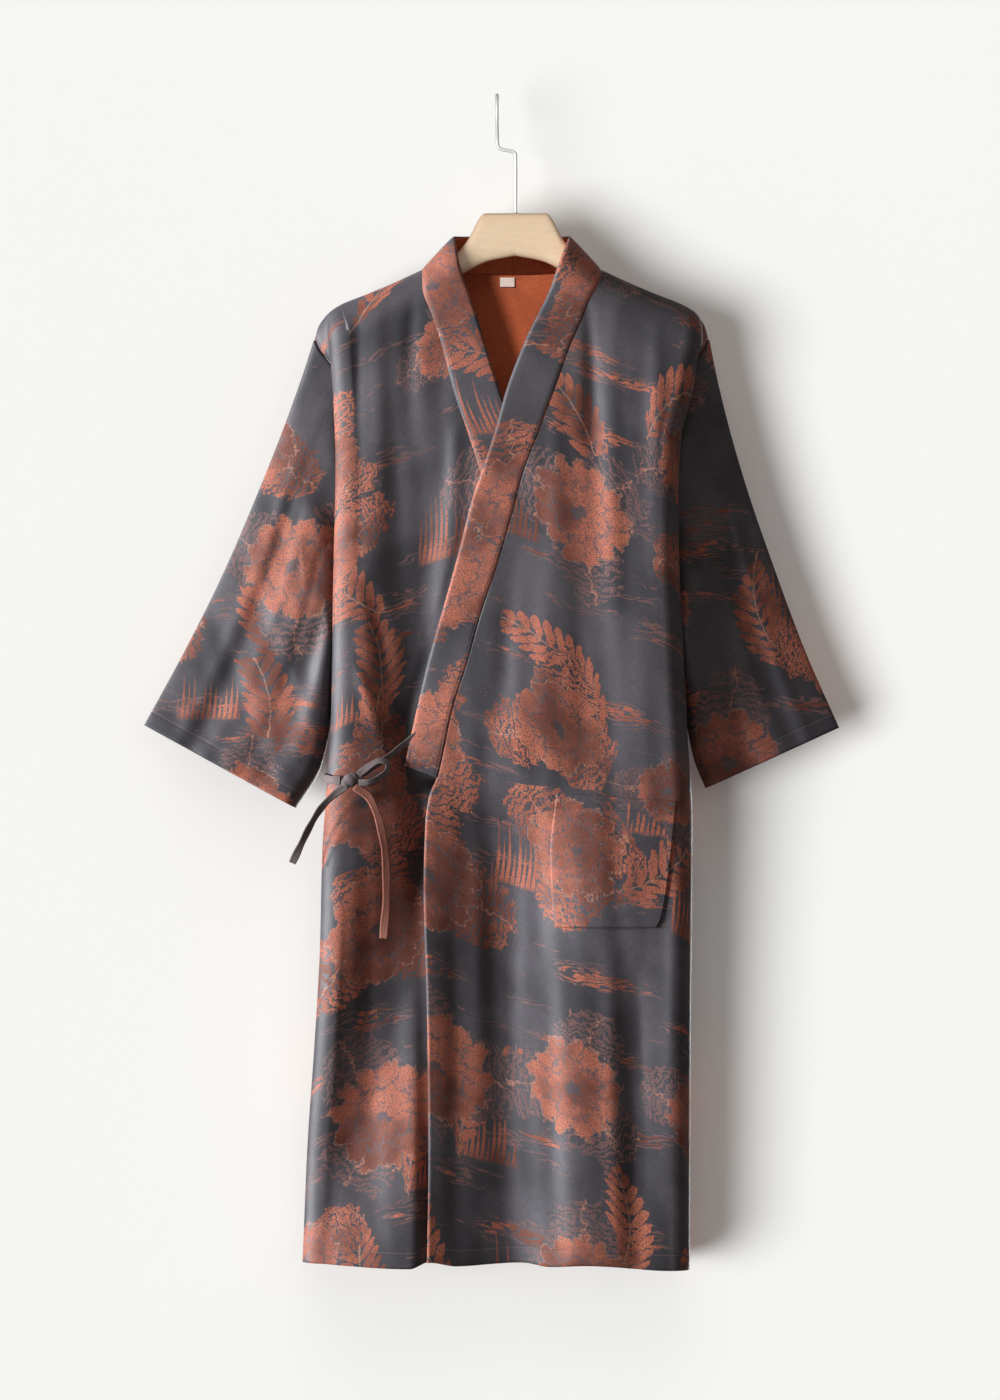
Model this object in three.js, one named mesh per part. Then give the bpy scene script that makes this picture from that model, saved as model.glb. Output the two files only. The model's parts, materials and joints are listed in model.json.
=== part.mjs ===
// A kimono robe with wide sleeves, a wrap front, a neckband and a side tie, on a wooden hanger.
// Millimetres, +Z up, the front faces -Y, +X is the wearer's left.
// The origin is the seat of the hook: the underside of its top bend, where it hangs.
import * as THREE from "three";

// ---- Driving dimensions

const CLOTH = 1.5; // thickness of a cloth wall
const SEAM = 0.3; // gap between pieces that are sewn together
const STRIP = 1.2; // thickness of the ties and the label
const MIDDLE = 17; // x of the garment's middle line
const NECK = 103; // half width of the neck opening at the shoulder seam
const NECK_RISE = 0.45; // slope of the line that the shoulders would follow on towards the neck
const FOLD_START = 198; // half width of the shoulder line where the side fold starts
const SHOULDER_ROUND = 40; // drop over which the shoulder rounds over into the front and back
const BACK_NECK = -203; // height of the back neck seam at the middle line
const CORNER = 24; // width of the rounded fold at each side of the body
const QUARTER = 0.55; // share of the side fold's columns on its quarter round
const FOLD_DEPTH = 0.5; // share of the body's depth that the quarter round takes
const TURNED_IN = 0.7; // share of the way from fold to seam by which the cloth has turned in
const ARM_TOP = -280; // highest point of the armhole seam
const ARM_END = -540; // lowest point of the armhole seam
const ARM_HALF = 10; // half width of the armhole, front to back
const ARM_LAP = 2; // how far the panels' side ends reach in behind the sleeve's end
const HEM = -1348; // mean height of the hem
const BAND_END = -786; // height of the waist end of the neckband's seam
const LAYER = 5; // from the outer face of the overlap to that of the underlap
const LAYER_TOP = -215; // height at which the two start to part
const LAYER_DROP = 90; // drop over which they part

const MID_ROWS = 20; // rows of a body panel below the shoulder round
const ROUND_ROWS = 5; // rows over the shoulder round
const CORNER_COLUMNS = 6; // columns over a side fold
const SHOULDER_COLUMNS = 5; // columns of the back over each shoulder
const NECK_COLUMNS = 6; // columns of the back under each half of the neck
const OVER_COLUMNS = 16; // columns of the overlap's face
const UNDER_COLUMNS = 19; // columns of the underlap's face

// Shoulder line: half width from the middle line, and height.
const SHOULDER = [
  { half: NECK, z: -199.6 },
  { half: 135, z: -214.5 },
  { half: 167, z: -228 },
  { half: FOLD_START, z: -240.5 },
  { half: 211, z: -249.5 },
  { half: 221, z: -262 },
  { half: 227.5, z: -280 },
];
const TIP = SHOULDER[SHOULDER.length - 1];

// Depth of the front and back faces from the plane of the side seams.
const DEPTH = [
  { z: -200, front: 33, back: 30 },
  { z: -300, front: 37, back: 34 },
  { z: -450, front: 42, back: 40 },
  { z: -650, front: 47, back: 44 },
  { z: -800, front: 50, back: 46 },
  { z: -1000, front: 55, back: 50 },
  { z: -1350, front: 64, back: 56 },
];

// Side folds: x of the outermost cloth and of the side seam, on each side.
const RIGHT_SIDE = [
  { z: -240, fold: -196, seam: -208 },
  { z: -283, fold: -194, seam: -205 },
  { z: -314, fold: -191.5, seam: -187 },
  { z: -356, fold: -188.6, seam: -178 },
  { z: -428, fold: -186.3, seam: -173.5 },
  { z: -540, fold: -188.5, seam: -175 },
  { z: -620, fold: -190, seam: -175.5 },
  { z: -706, fold: -191, seam: -178 },
  { z: -807, fold: -197, seam: -189 },
  { z: -876, fold: -201.5, seam: -195 },
  { z: -980, fold: -204, seam: -199 },
  { z: -1095, fold: -210.5, seam: -206 },
  { z: -1210, fold: -218.5, seam: -215 },
  { z: -1350, fold: -224.3, seam: -221 },
];
const LEFT_SIDE = [
  { z: -240, fold: 239, seam: 243 },
  { z: -283, fold: 237, seam: 239 },
  { z: -305, fold: 231, seam: 225 },
  { z: -335, fold: 227, seam: 215 },
  { z: -366, fold: 219, seam: 206 },
  { z: -398, fold: 212, seam: 199 },
  { z: -470, fold: 209, seam: 196 },
  { z: -540, fold: 210, seam: 196.5 },
  { z: -607, fold: 213, seam: 198 },
  { z: -746, fold: 220, seam: 207 },
  { z: -835, fold: 225, seam: 218 },
  { z: -1095, fold: 223, seam: 218 },
  { z: -1350, fold: 222, seam: 218 },
];

// Neckbands: x of the seam and of the free edge across from it, and how much higher that edge lies.
const LEFT_BAND = [
  { z: -199.6, seam: 120, free: 84, rise: 38 },
  { z: -225, seam: 110, free: 71, rise: 30 },
  { z: -248, seam: 101, free: 61, rise: 23 },
  { z: -300, seam: 79.5, free: 34, rise: 19.5 },
  { z: -354, seam: 60, free: 12, rise: 17 },
  { z: -404, seam: 41.5, free: -2.5, rise: 15.5 },
  { z: -438, seam: 29, free: -14, rise: 14 },
  { z: -481, seam: 17.3, free: -29, rise: 13.5 },
  { z: -533, seam: 2, free: -42, rise: 13 },
  { z: -600, seam: -19.6, free: -60.5, rise: 12.5 },
  { z: -660, seam: -37, free: -78, rise: 12 },
  { z: -706, seam: -52, free: -89, rise: 12 },
  { z: -786, seam: -69.2, free: -106.3, rise: 13.7 },
];
const RIGHT_BAND = [
  { z: -199.6, seam: -86, free: -50, rise: 38 },
  { z: -225, seam: -84, free: -43, rise: 29 },
  { z: -254, seam: -73.6, free: -31, rise: 23 },
  { z: -289, seam: -62, free: -18.5, rise: 19 },
  { z: -343, seam: -48, free: -1, rise: 16 },
  { z: -400, seam: -29, free: 18, rise: 14 },
  { z: -500, seam: 3, free: 49, rise: 14 },
  { z: -600, seam: 34, free: 78, rise: 14 },
  { z: -700, seam: 62, free: 104, rise: 13 },
  { z: -786, seam: 84, free: 124, rise: 13 },
];

// Back neck, from the middle line outwards: the band's free edge above its seam.
const BACK_BAND = [
  { half: 0, free: 0, y: 36, z: -158 },
  { half: 30, free: 22, y: 34, z: -158 },
  { half: 60, free: 43, y: 27, z: -158.8 },
  { half: 85, free: 57, y: 15, z: -160 },
  { half: 103, free: 67, y: -1, z: -161.2 },
];

// Front edges below the neckband.
const LEFT_EDGE = [
  { z: -808, x: -78 },
  { z: -837, x: -82 },
  { z: -913, x: -84 },
  { z: -1037, x: -80.5 },
  { z: -1221, x: -78.2 },
  { z: -1350, x: -80 },
];
const RIGHT_EDGE = [
  { z: -820, x: 90 },
  { z: -1080, x: 92 },
  { z: -1350, x: 92 },
];

// How far the hem lies above its mean height, along x.
const HEM_LINE = [
  { x: -224, rise: 5 },
  { x: -100, rise: -1 },
  { x: -78, rise: 6 },
  { x: -45, rise: 1 },
  { x: 30, rise: 4 },
  { x: 60, rise: 0 },
  { x: 100, rise: 2 },
  { x: 205, rise: -5 },
  { x: 222, rise: -3 },
];

// Largest folds of the front: middle of the fold, width to either side, and how far the overlap
// (over) and the underlap (under) are pushed in from the face.
const FRONT_FOLDS = [
  [
    { z: -560, x: -76, left: 16, right: 26, over: 0, under: 0 },
    { z: -700, x: -108, left: 17, right: 30, over: 2, under: 13 },
    { z: -780, x: -112, left: 17, right: 34, over: 5, under: 18 },
    { z: -850, x: -90, left: 17, right: 38, over: 13, under: 24 },
    { z: -1000, x: -84, left: 18, right: 40, over: 22, under: 31 },
    { z: -1350, x: -82, left: 20, right: 42, over: 33, under: 42 },
  ],
  [
    { z: -700, x: -150, left: 40, right: 30, over: 0, under: 0 },
    { z: -1000, x: -152, left: 40, right: 34, over: 0, under: -8 },
    { z: -1350, x: -158, left: 44, right: 38, over: 0, under: -12 },
  ],
  [
    { z: -620, x: 40, left: 30, right: 22, over: 0, under: 0 },
    { z: -1000, x: 44, left: 34, right: 24, over: -8, under: -6 },
    { z: -1350, x: 42, left: 36, right: 26, over: -13, under: -11 },
  ],
  [
    { z: -700, x: 96, left: 22, right: 26, over: 0, under: 0 },
    { z: -1000, x: 98, left: 22, right: 28, over: 6, under: 5 },
    { z: -1350, x: 100, left: 24, right: 30, over: 10, under: 8 },
  ],
  [
    { z: -900, x: 162, left: 26, right: 24, over: 0, under: 0 },
    { z: -1350, x: 164, left: 30, right: 24, over: -8, under: -6 },
  ],
  [
    { z: -240, x: 118, left: 13, right: 15, over: 0, under: 0 },
    { z: -330, x: 121, left: 13, right: 15, over: 6, under: 5 },
    { z: -640, x: 120, left: 14, right: 18, over: 0, under: 0 },
  ],
  [
    { z: -250, x: 166, left: 14, right: 14, over: 0, under: 0 },
    { z: -450, x: 166, left: 15, right: 15, over: 5, under: 4 },
    { z: -680, x: 168, left: 16, right: 16, over: 0, under: 0 },
  ],
  [
    { z: -245, x: -118, left: 18, right: 18, over: 0, under: 0 },
    { z: -420, x: -122, left: 18, right: 20, over: 0, under: 7 },
    { z: -660, x: -122, left: 20, right: 22, over: 0, under: 0 },
  ],
];

// Largest folds of the back: the same, with one depth.
const BACK_FOLDS = [
  [
    { z: -330, x: -118, left: 26, right: 30, depth: 0 },
    { z: -800, x: -122, left: 28, right: 34, depth: 9 },
    { z: -1350, x: -128, left: 32, right: 38, depth: 17 },
  ],
  [
    { z: -280, x: -32, left: 30, right: 26, depth: 0 },
    { z: -700, x: -36, left: 32, right: 30, depth: -6 },
    { z: -1350, x: -40, left: 36, right: 34, depth: -12 },
  ],
  [
    { z: -260, x: 44, left: 26, right: 24, depth: 0 },
    { z: -620, x: 42, left: 28, right: 26, depth: 8 },
    { z: -1350, x: 46, left: 34, right: 32, depth: 15 },
  ],
  [
    { z: -520, x: 136, left: 30, right: 24, depth: 0 },
    { z: -900, x: 138, left: 32, right: 26, depth: -7 },
    { z: -1350, x: 142, left: 34, right: 28, depth: -12 },
  ],
];

// Sleeves: the upper and lower fold from the armhole (at 0) to the cuff (at 1), and half the depth.
const RIGHT_SLEEVE = [
  { at: 0, upperX: -211, upperZ: -281, lowerX: -175, lowerZ: -540, half: 8.6, y: 0 },
  { at: 0.08, upperX: -223, upperZ: -319, lowerX: -181, lowerZ: -572, half: 11, y: 0 },
  { at: 0.22, upperX: -243, upperZ: -376, lowerX: -184.5, lowerZ: -618, half: 14, y: 0 },
  { at: 0.4, upperX: -273, upperZ: -452, lowerX: -188, lowerZ: -672, half: 15, y: 1 },
  { at: 0.6, upperX: -317, upperZ: -554, lowerX: -191.5, lowerZ: -722, half: 15, y: 3 },
  { at: 0.8, upperX: -360, upperZ: -640, lowerX: -202, lowerZ: -774, half: 14, y: 5 },
  { at: 1, upperX: -407, upperZ: -726, lowerX: -231, lowerZ: -822, half: 13, y: 7 },
];
const LEFT_SLEEVE = [
  { at: 0, upperX: 245, upperZ: -281, lowerX: 196.5, lowerZ: -540, half: 8.6, y: 0 },
  { at: 0.08, upperX: 253, upperZ: -322, lowerX: 203, lowerZ: -572, half: 11, y: 0 },
  { at: 0.22, upperX: 270.5, upperZ: -394, lowerX: 207, lowerZ: -618, half: 14, y: 1 },
  { at: 0.4, upperX: 290, upperZ: -459, lowerX: 211, lowerZ: -670, half: 15, y: 3 },
  { at: 0.6, upperX: 318, upperZ: -540, lowerX: 217, lowerZ: -718, half: 15, y: 6 },
  { at: 0.8, upperX: 355.5, upperZ: -640, lowerX: 226.5, lowerZ: -765, half: 14, y: 9 },
  { at: 1, upperX: 395, upperZ: -729, lowerX: 240, lowerZ: -799, half: 13, y: 12 },
];

// Folds of the sleeves: place across the sleeve (0 is its upper fold), width and depth.
const SLEEVE_FOLDS = [
  { across: 0.34, width: 0.09, depth: 3.2 },
  { across: 0.56, width: 0.1, depth: -2.4 },
  { across: 0.76, width: 0.08, depth: 3.2 },
];

// Pocket: height of its rows below the mouth, x of its left and right edges.
const POCKET = [
  { z: -804, left: 68.4, right: 206.4 },
  { z: -835, left: 64, right: 203.5 },
  { z: -870, left: 61, right: 200 },
  { z: -945, left: 64, right: 189 },
  { z: -958, left: 68, right: 183 },
];
const PATCH_LIFT = 0.7; // from a panel to the pocket or label on it
const PUFF = 1.2; // how much further the pocket's middle stands out

const LABEL = { left: 3.5, right: 20.5, top: -206.5, bottom: -217.5 };

// Hanger: height of its crown and underside by the distance from its middle. Its arms follow the
// inside of the shoulders.
const HANGER_MIDDLE = 21.5;
const HANGER_TOP = [
  { x: 0, z: -134.5 },
  { x: 36, z: -134.8 },
  { x: 40, z: -138 },
  { x: 55, z: -165 },
  { x: 68, z: -181 },
  { x: 79, z: -196 },
  { x: 87, z: -206 },
];
const HANGER_UNDER = [
  { x: 0, z: -183.5 },
  { x: 30, z: -189.5 },
  { x: 60, z: -204 },
  { x: 90, z: -221 },
  { x: 150, z: -247 },
  { x: 190, z: -264 },
  { x: 205, z: -270 },
];
const CROWN_HALF = HANGER_TOP[HANGER_TOP.length - 1].x;
const HANGER_HALF = 193; // half the hanger's width
const HANGER_GAP = 0.7; // from the arms to the cloth that lies on them
const HANGER_THICK = 11.7; // half its thickness
const HANGER_TIP = 8; // length over which each arm's end is rounded off

// Hook: wire size and the points of its middle line, from the hanger up to the turned-back end.
const WIRE = 4;
const HOOK_LINE = [
  { x: 21.4, y: 0, z: -134.1 },
  { x: 21.4, y: 0, z: -70 },
  { x: 21, y: 0, z: -65.5 },
  { x: 17.5, y: 0, z: -63.2 },
  { x: 4.5, y: 0, z: -60.2 },
  { x: 1.2, y: 0, z: -57.5 },
  { x: 0.6, y: 0, z: -53 },
  { x: 0, y: -13.5, z: -17 },
  { x: 0, y: -12, z: -6 },
  { x: 0, y: -6, z: 0.4 },
  { x: 0, y: 2, z: 2 },
  { x: 0, y: 10, z: -1 },
  { x: 0, y: 15, z: -8 },
  { x: 0, y: 16, z: -18 },
];

// Ties: widths, and the points of each strip's middle line with the distance in front of the
// underlap, or of the overlap where it says so. An upright strip keeps its width upright.
const TIE_KNOT = { x: -168, z: -789, width: 24, height: 20, depth: 12, lift: 2 };
const TIE_STRIPS = {
  tie_left: {
    width: 8,
    line: [
      { x: -90, z: -736, front: -2.2, layer: "over" },
      { x: -101, z: -743, front: -2.4, layer: "over" },
      { x: -116, z: -755, front: 8 },
      { x: -134, z: -768, front: 7 },
      { x: -158, z: -782.8, front: 7.7 },
    ],
  },
  tie_right: {
    width: 9,
    upright: true,
    line: [
      { x: -180.2, z: -789, front: 7.6 },
      { x: -187, z: -788.5, front: 4 },
      { x: -193.3, z: -788, front: -5 },
      { x: -197.2, z: -787, front: -15 },
      { x: -196.8, z: -786, front: -26 },
      { x: -190.5, z: -785, front: -36 },
    ],
  },
  tie_loop: {
    width: 9,
    line: [
      { x: -157, z: -781, front: 9.5 },
      { x: -146, z: -773, front: 10 },
      { x: -134, z: -768, front: 11 },
      { x: -126.5, z: -770.5, front: 12.5 },
      { x: -127.5, z: -778, front: 15 },
      { x: -138, z: -787, front: 16 },
      { x: -148, z: -791, front: 14.5 },
      { x: -156.5, z: -791.5, front: 11.5 },
    ],
  },
  tie_tail_side: {
    width: 8,
    line: [
      { x: -176, z: -797.5, front: 7 },
      { x: -190, z: -808, front: 5 },
      { x: -203, z: -822, front: 3 },
      { x: -213, z: -838, front: 0 },
      { x: -224, z: -860, front: -4 },
      { x: -235, z: -884, front: -9 },
    ],
  },
  tie_tail_front: {
    width: 9,
    line: [
      { x: -160.6, z: -798, front: 6 },
      { x: -148, z: -807, front: 3 },
      { x: -138, z: -827, front: 2.5 },
      { x: -131, z: -855, front: 3 },
      { x: -127.5, z: -885, front: 4 },
      { x: -127, z: -930, front: 5 },
      { x: -130, z: -970, front: 5 },
    ],
  },
};

// ---- Colours

const SLATE = 0x57575f;
const RUST = 0x9d6558;
const DARK_SLATE = 0x4a484c;
const WOOD = 0xe9cba9;
const STEEL = 0xc9cbce;
const PAPER = 0xf1efea;

// ---- Tables and curves

const clamp = (value, low, high) => Math.min(Math.max(value, low), high);
const lerp = (a, b, t) => a + (b - a) * t;

function smooth(t) {
  const s = clamp(t, 0, 1);
  return s * s * (3 - 2 * s);
}

// A smooth curve through a table's rows that never swings past them: between two rows it is a
// cubic whose end slopes are the harmonic means of the neighbouring slopes.
function through(rows, by, key) {
  const at = rows.map((row) => row[by]);
  const value = rows.map((row) => row[key]);
  const last = rows.length - 1;
  const secant = (i) => (value[i + 1] - value[i]) / (at[i + 1] - at[i]);
  const slope = rows.map((_, i) => {
    if (i === 0) return secant(0);
    if (i === last) return secant(last - 1);
    const before = secant(i - 1);
    const after = secant(i);
    return before * after <= 0 ? 0 : (2 * before * after) / (before + after);
  });
  const direction = Math.sign(at[last] - at[0]);
  return (t) => {
    if ((t - at[0]) * direction <= 0) return value[0];
    if ((t - at[last]) * direction >= 0) return value[last];
    let i = 0;
    while ((t - at[i + 1]) * direction > 0) i += 1;
    const span = at[i + 1] - at[i];
    const s = (t - at[i]) / span;
    const bend = s * s * (3 - 2 * s);
    return (
      lerp(value[i], value[i + 1], bend) +
      span * (s * (1 - s) * (1 - s) * slope[i] - s * s * (1 - s) * slope[i + 1])
    );
  };
}

const shoulderHeight = through(SHOULDER, "half", "z");

// Height of the shoulder line at x. Inside the neck it runs on as a straight slope.
function ridge(x) {
  const half = Math.abs(x - MIDDLE);
  if (half < NECK) return SHOULDER[0].z + NECK_RISE * (NECK - half);
  return shoulderHeight(half);
}

// Rounding of the shoulder: 0 on the shoulder line, 1 once the cloth hangs straight down.
function rounding(drop) {
  const left = 1 - clamp(drop / SHOULDER_ROUND, 0, 1);
  return Math.sqrt(1 - left * left);
}

// ---- Faces of the body

const frontDepth = through(DEPTH, "z", "front");
const backDepth = through(DEPTH, "z", "back");

function foldSet(folds, depthKeys) {
  return folds.map((rows) => ({
    top: rows[0].z,
    middle: through(rows, "z", "x"),
    left: through(rows, "z", "left"),
    right: through(rows, "z", "right"),
    depths: Object.fromEntries(depthKeys.map((key) => [key, through(rows, "z", key)])),
  }));
}

const frontFolds = foldSet(FRONT_FOLDS, ["over", "under"]);
const backFolds = foldSet(BACK_FOLDS, ["depth"]);

// Sum of the folds at a point: each is a soft trough, or a ridge where its depth is negative.
function foldDepth(folds, key, x, z) {
  let sum = 0;
  for (const fold of folds) {
    if (z > fold.top) continue;
    const from = x - fold.middle(z);
    const width = from < 0 ? fold.left(z) : fold.right(z);
    sum += fold.depths[key](z) * Math.exp(-0.5 * (from / width) ** 2);
  }
  return sum;
}

const layerAt = (z) => LAYER * smooth((LAYER_TOP - z) / LAYER_DROP);

// Distance of the outer face from the seam plane, before the shoulder's rounding.
const faces = {
  over: (x, z) => frontDepth(z) - foldDepth(frontFolds, "over", x, z),
  under: (x, z) => frontDepth(z) - layerAt(z) - foldDepth(frontFolds, "under", x, z),
  back: (x, z) => backDepth(z) - foldDepth(backFolds, "depth", x, z),
};

// y of the front's outer face at a point.
function frontY(layer, x, z) {
  return -faces[layer](x, z) * rounding(ridge(x) - z);
}

function sideOf(rows, sign) {
  return { sign, fold: through(rows, "z", "fold"), seam: through(rows, "z", "seam") };
}

const sides = { right: sideOf(RIGHT_SIDE, -1), left: sideOf(LEFT_SIDE, 1) };

// Half width of the armhole at a height: a lens between its two ends.
function armhole(z) {
  const t = clamp((z - ARM_TOP) / (ARM_END - ARM_TOP), 0, 1);
  return 2 * ARM_HALF * Math.sqrt(t * (1 - t));
}

// x of the side seam's outer line, rounded over from the shoulder's tip.
function seamX(side, z) {
  return lerp(MIDDLE + side.sign * TIP.half, side.seam(z), rounding(TIP.z - z));
}

const hemRise = through(HEM_LINE, "x", "rise");

// Heights of a column's rows from the shoulder line down to the hem, which it reaches at x.
function columnHeights(top, x) {
  const heights = [];
  for (let j = 0; j <= ROUND_ROWS; j += 1) {
    const turn = (Math.PI / 2) * (j / ROUND_ROWS);
    heights.push(top - SHOULDER_ROUND * (1 - Math.cos(turn)));
  }
  const from = top - SHOULDER_ROUND;
  const hem = HEM + hemRise(x);
  for (let j = 1; j <= MID_ROWS; j += 1) heights.push(lerp(from, hem, j / MID_ROWS));
  return heights;
}

// A column of the rounded side fold: c is 0 where the face ends and 1 at the side seam.
function cornerColumn(side, face, facing, c) {
  const half = lerp(FOLD_START, TIP.half, c);
  const top = shoulderHeight(half);
  const topX = MIDDLE + side.sign * half;
  const hemX = side.fold(HEM) - side.sign * CORNER * (1 - c);
  return columnHeights(top, hemX).map((z) => {
    const edge = side.fold(z);
    const inner = edge - side.sign * CORNER;
    const depth = face(inner, z);
    const quarter = depth * FOLD_DEPTH;
    const end = SEAM / 2 + Math.max(armhole(z) - ARM_LAP, 0);
    const turn = (Math.PI / 2) * Math.min(c / QUARTER, 1);
    const beyond = Math.max(c - QUARTER, 0) / (1 - QUARTER);
    const x = lerp(lerp(inner, edge, Math.sin(turn)), seamX(side, z), smooth(beyond / TURNED_IN));
    const out = lerp(depth - quarter * (1 - Math.cos(turn)), end, beyond);
    const round = rounding(top - z);
    const y = SEAM / 2 + (out - SEAM / 2) * round;
    return new THREE.Vector3(lerp(topX, x, round), facing * y, z);
  });
}

// A column of the face between the inner edge (a = 0) and the side fold (a = 1).
function faceColumn(side, face, facing, edgeX, a) {
  const half = lerp(NECK, FOLD_START, a);
  const top = shoulderHeight(half);
  const topX = MIDDLE + side.sign * half;
  const hemX = lerp(edgeX(HEM), side.fold(HEM) - side.sign * CORNER, a);
  return columnHeights(top, hemX).map((z) => {
    const outer = side.fold(z) - side.sign * CORNER;
    const round = rounding(top - z);
    const x = lerp(topX, lerp(edgeX(z), outer, a), smooth((top - z) / SHOULDER_ROUND));
    return new THREE.Vector3(x, facing * (SEAM / 2 + (face(x, z) - SEAM / 2) * round), z);
  });
}

function frontPanel(side, face, edgeX, columns) {
  const grid = [];
  for (let i = 0; i < columns; i += 1) grid.push(faceColumn(side, face, -1, edgeX, i / columns));
  for (let i = 0; i <= CORNER_COLUMNS; i += 1) {
    grid.push(cornerColumn(side, face, -1, i / CORNER_COLUMNS));
  }
  return grid;
}

// A column of the back between the two neck points: it starts at the neck seam, not at the shoulder.
function neckColumn(half, sign) {
  const x = MIDDLE + sign * half;
  const top = ridge(x);
  const start = lerp(BACK_NECK, SHOULDER[0].z, smooth(half / NECK));
  return columnHeights(top, x).map((height, j, heights) => {
    const next = heights[ROUND_ROWS + 1];
    const z = j <= ROUND_ROWS ? lerp(start, next, j / (ROUND_ROWS + 1)) : height;
    return new THREE.Vector3(x, SEAM / 2 + (faces.back(x, z) - SEAM / 2) * rounding(top - z), z);
  });
}

function backPanel() {
  const grid = [];
  const shoulderEdge = (sign) => () => MIDDLE + sign * NECK;
  for (let i = CORNER_COLUMNS; i > 0; i -= 1) {
    grid.push(cornerColumn(sides.right, faces.back, 1, i / CORNER_COLUMNS));
  }
  for (let i = SHOULDER_COLUMNS; i >= 0; i -= 1) {
    grid.push(faceColumn(sides.right, faces.back, 1, shoulderEdge(-1), i / SHOULDER_COLUMNS));
  }
  for (let i = NECK_COLUMNS - 1; i > 0; i -= 1) grid.push(neckColumn((NECK * i) / NECK_COLUMNS, -1));
  for (let i = 0; i < NECK_COLUMNS; i += 1) grid.push(neckColumn((NECK * i) / NECK_COLUMNS, 1));
  for (let i = 0; i < SHOULDER_COLUMNS; i += 1) {
    grid.push(faceColumn(sides.left, faces.back, 1, shoulderEdge(1), i / SHOULDER_COLUMNS));
  }
  for (let i = 0; i <= CORNER_COLUMNS; i += 1) {
    grid.push(cornerColumn(sides.left, faces.back, 1, i / CORNER_COLUMNS));
  }
  return grid;
}

// ---- Walls

// A closed cloth wall on a grid of points (columns of equal length). The grid is its outer face
// where out is 1 and the cross product of the two grid directions points outwards, or out is -1 and
// it points inwards. A ring's last column joins its first. keep may hold inner points back.
function wall(grid, thickness, out, { ring = false, keep = (point) => point } = {}) {
  const columns = grid.length;
  const rows = grid[0].length;
  const inner = grid.map((line, i) =>
    line.map((point, j) => {
      const before = grid[ring ? (i + columns - 1) % columns : Math.max(i - 1, 0)][j];
      const after = grid[ring ? (i + 1) % columns : Math.min(i + 1, columns - 1)][j];
      const across = after.clone().sub(before);
      const along = line[Math.min(j + 1, rows - 1)].clone().sub(line[Math.max(j - 1, 0)]);
      const normal = across.cross(along).normalize();
      return keep(point.clone().addScaledVector(normal, -out * thickness), i, j);
    }),
  );
  const position = [...grid.flat(), ...inner.flat()].flatMap((point) => point.toArray());
  const outer = (i, j) => (i % columns) * rows + j;
  const under = (i, j) => columns * rows + outer(i, j);
  const index = [];
  const quad = (a, b, c, d) => {
    if (out > 0) index.push(a, b, c, a, c, d);
    else index.push(a, c, b, a, d, c);
  };
  const steps = ring ? columns : columns - 1;
  for (let i = 0; i < steps; i += 1) {
    for (let j = 0; j < rows - 1; j += 1) {
      quad(outer(i, j), outer(i + 1, j), outer(i + 1, j + 1), outer(i, j + 1));
      quad(under(i, j), under(i, j + 1), under(i + 1, j + 1), under(i + 1, j));
    }
    quad(outer(i, 0), under(i, 0), under(i + 1, 0), outer(i + 1, 0));
    quad(outer(i, rows - 1), outer(i + 1, rows - 1), under(i + 1, rows - 1), under(i, rows - 1));
  }
  if (!ring) {
    for (let j = 0; j < rows - 1; j += 1) {
      quad(outer(0, j), outer(0, j + 1), under(0, j + 1), under(0, j));
      quad(outer(steps, j), under(steps, j), under(steps, j + 1), outer(steps, j + 1));
    }
  }
  const geometry = new THREE.BufferGeometry();
  geometry.setAttribute("position", new THREE.Float32BufferAttribute(position, 3));
  geometry.setIndex(index);
  return geometry;
}

const robe = new THREE.Group();
robe.name = "kimono_robe";

function add(name, geometry, color, roughness = 0.85, metalness = 0) {
  geometry.computeVertexNormals();
  const material = new THREE.MeshStandardMaterial({ color, roughness, metalness });
  const mesh = new THREE.Mesh(geometry, material);
  mesh.name = name;
  robe.add(mesh);
  return mesh;
}

// ---- Body panels

function edgeCurve(band, edge) {
  const rows = [...band.map(({ z, seam }) => ({ z, x: seam })), ...edge];
  return through(rows, "z", "x");
}

// Inner points of a front (-1) or back (1) panel never cross the seam plane.
const ownSide = (facing) => (point) => {
  point.y = facing > 0 ? Math.max(point.y, SEAM / 2) : Math.min(point.y, -SEAM / 2);
  return point;
};

const overGrid = frontPanel(sides.left, faces.over, edgeCurve(LEFT_BAND, LEFT_EDGE), OVER_COLUMNS);
const underGrid = frontPanel(sides.right, faces.under, edgeCurve(RIGHT_BAND, RIGHT_EDGE), UNDER_COLUMNS);
const backGrid = backPanel();

add("back", wall(backGrid, CLOTH, 1, { keep: ownSide(1) }), SLATE);
add("front_left", wall(overGrid, CLOTH, -1, { keep: ownSide(-1) }), SLATE);
add("front_right", wall(underGrid, CLOTH, 1, { keep: ownSide(-1) }), SLATE);

// ---- Neckband

// Point of a polyline at a height.
function atHeight(line, z) {
  let j = 0;
  while (j < line.length - 2 && line[j + 1].z > z) j += 1;
  const t = (z - line[j].z) / (line[j + 1].z - line[j].z);
  return line[j].clone().lerp(line[j + 1], t);
}

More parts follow.
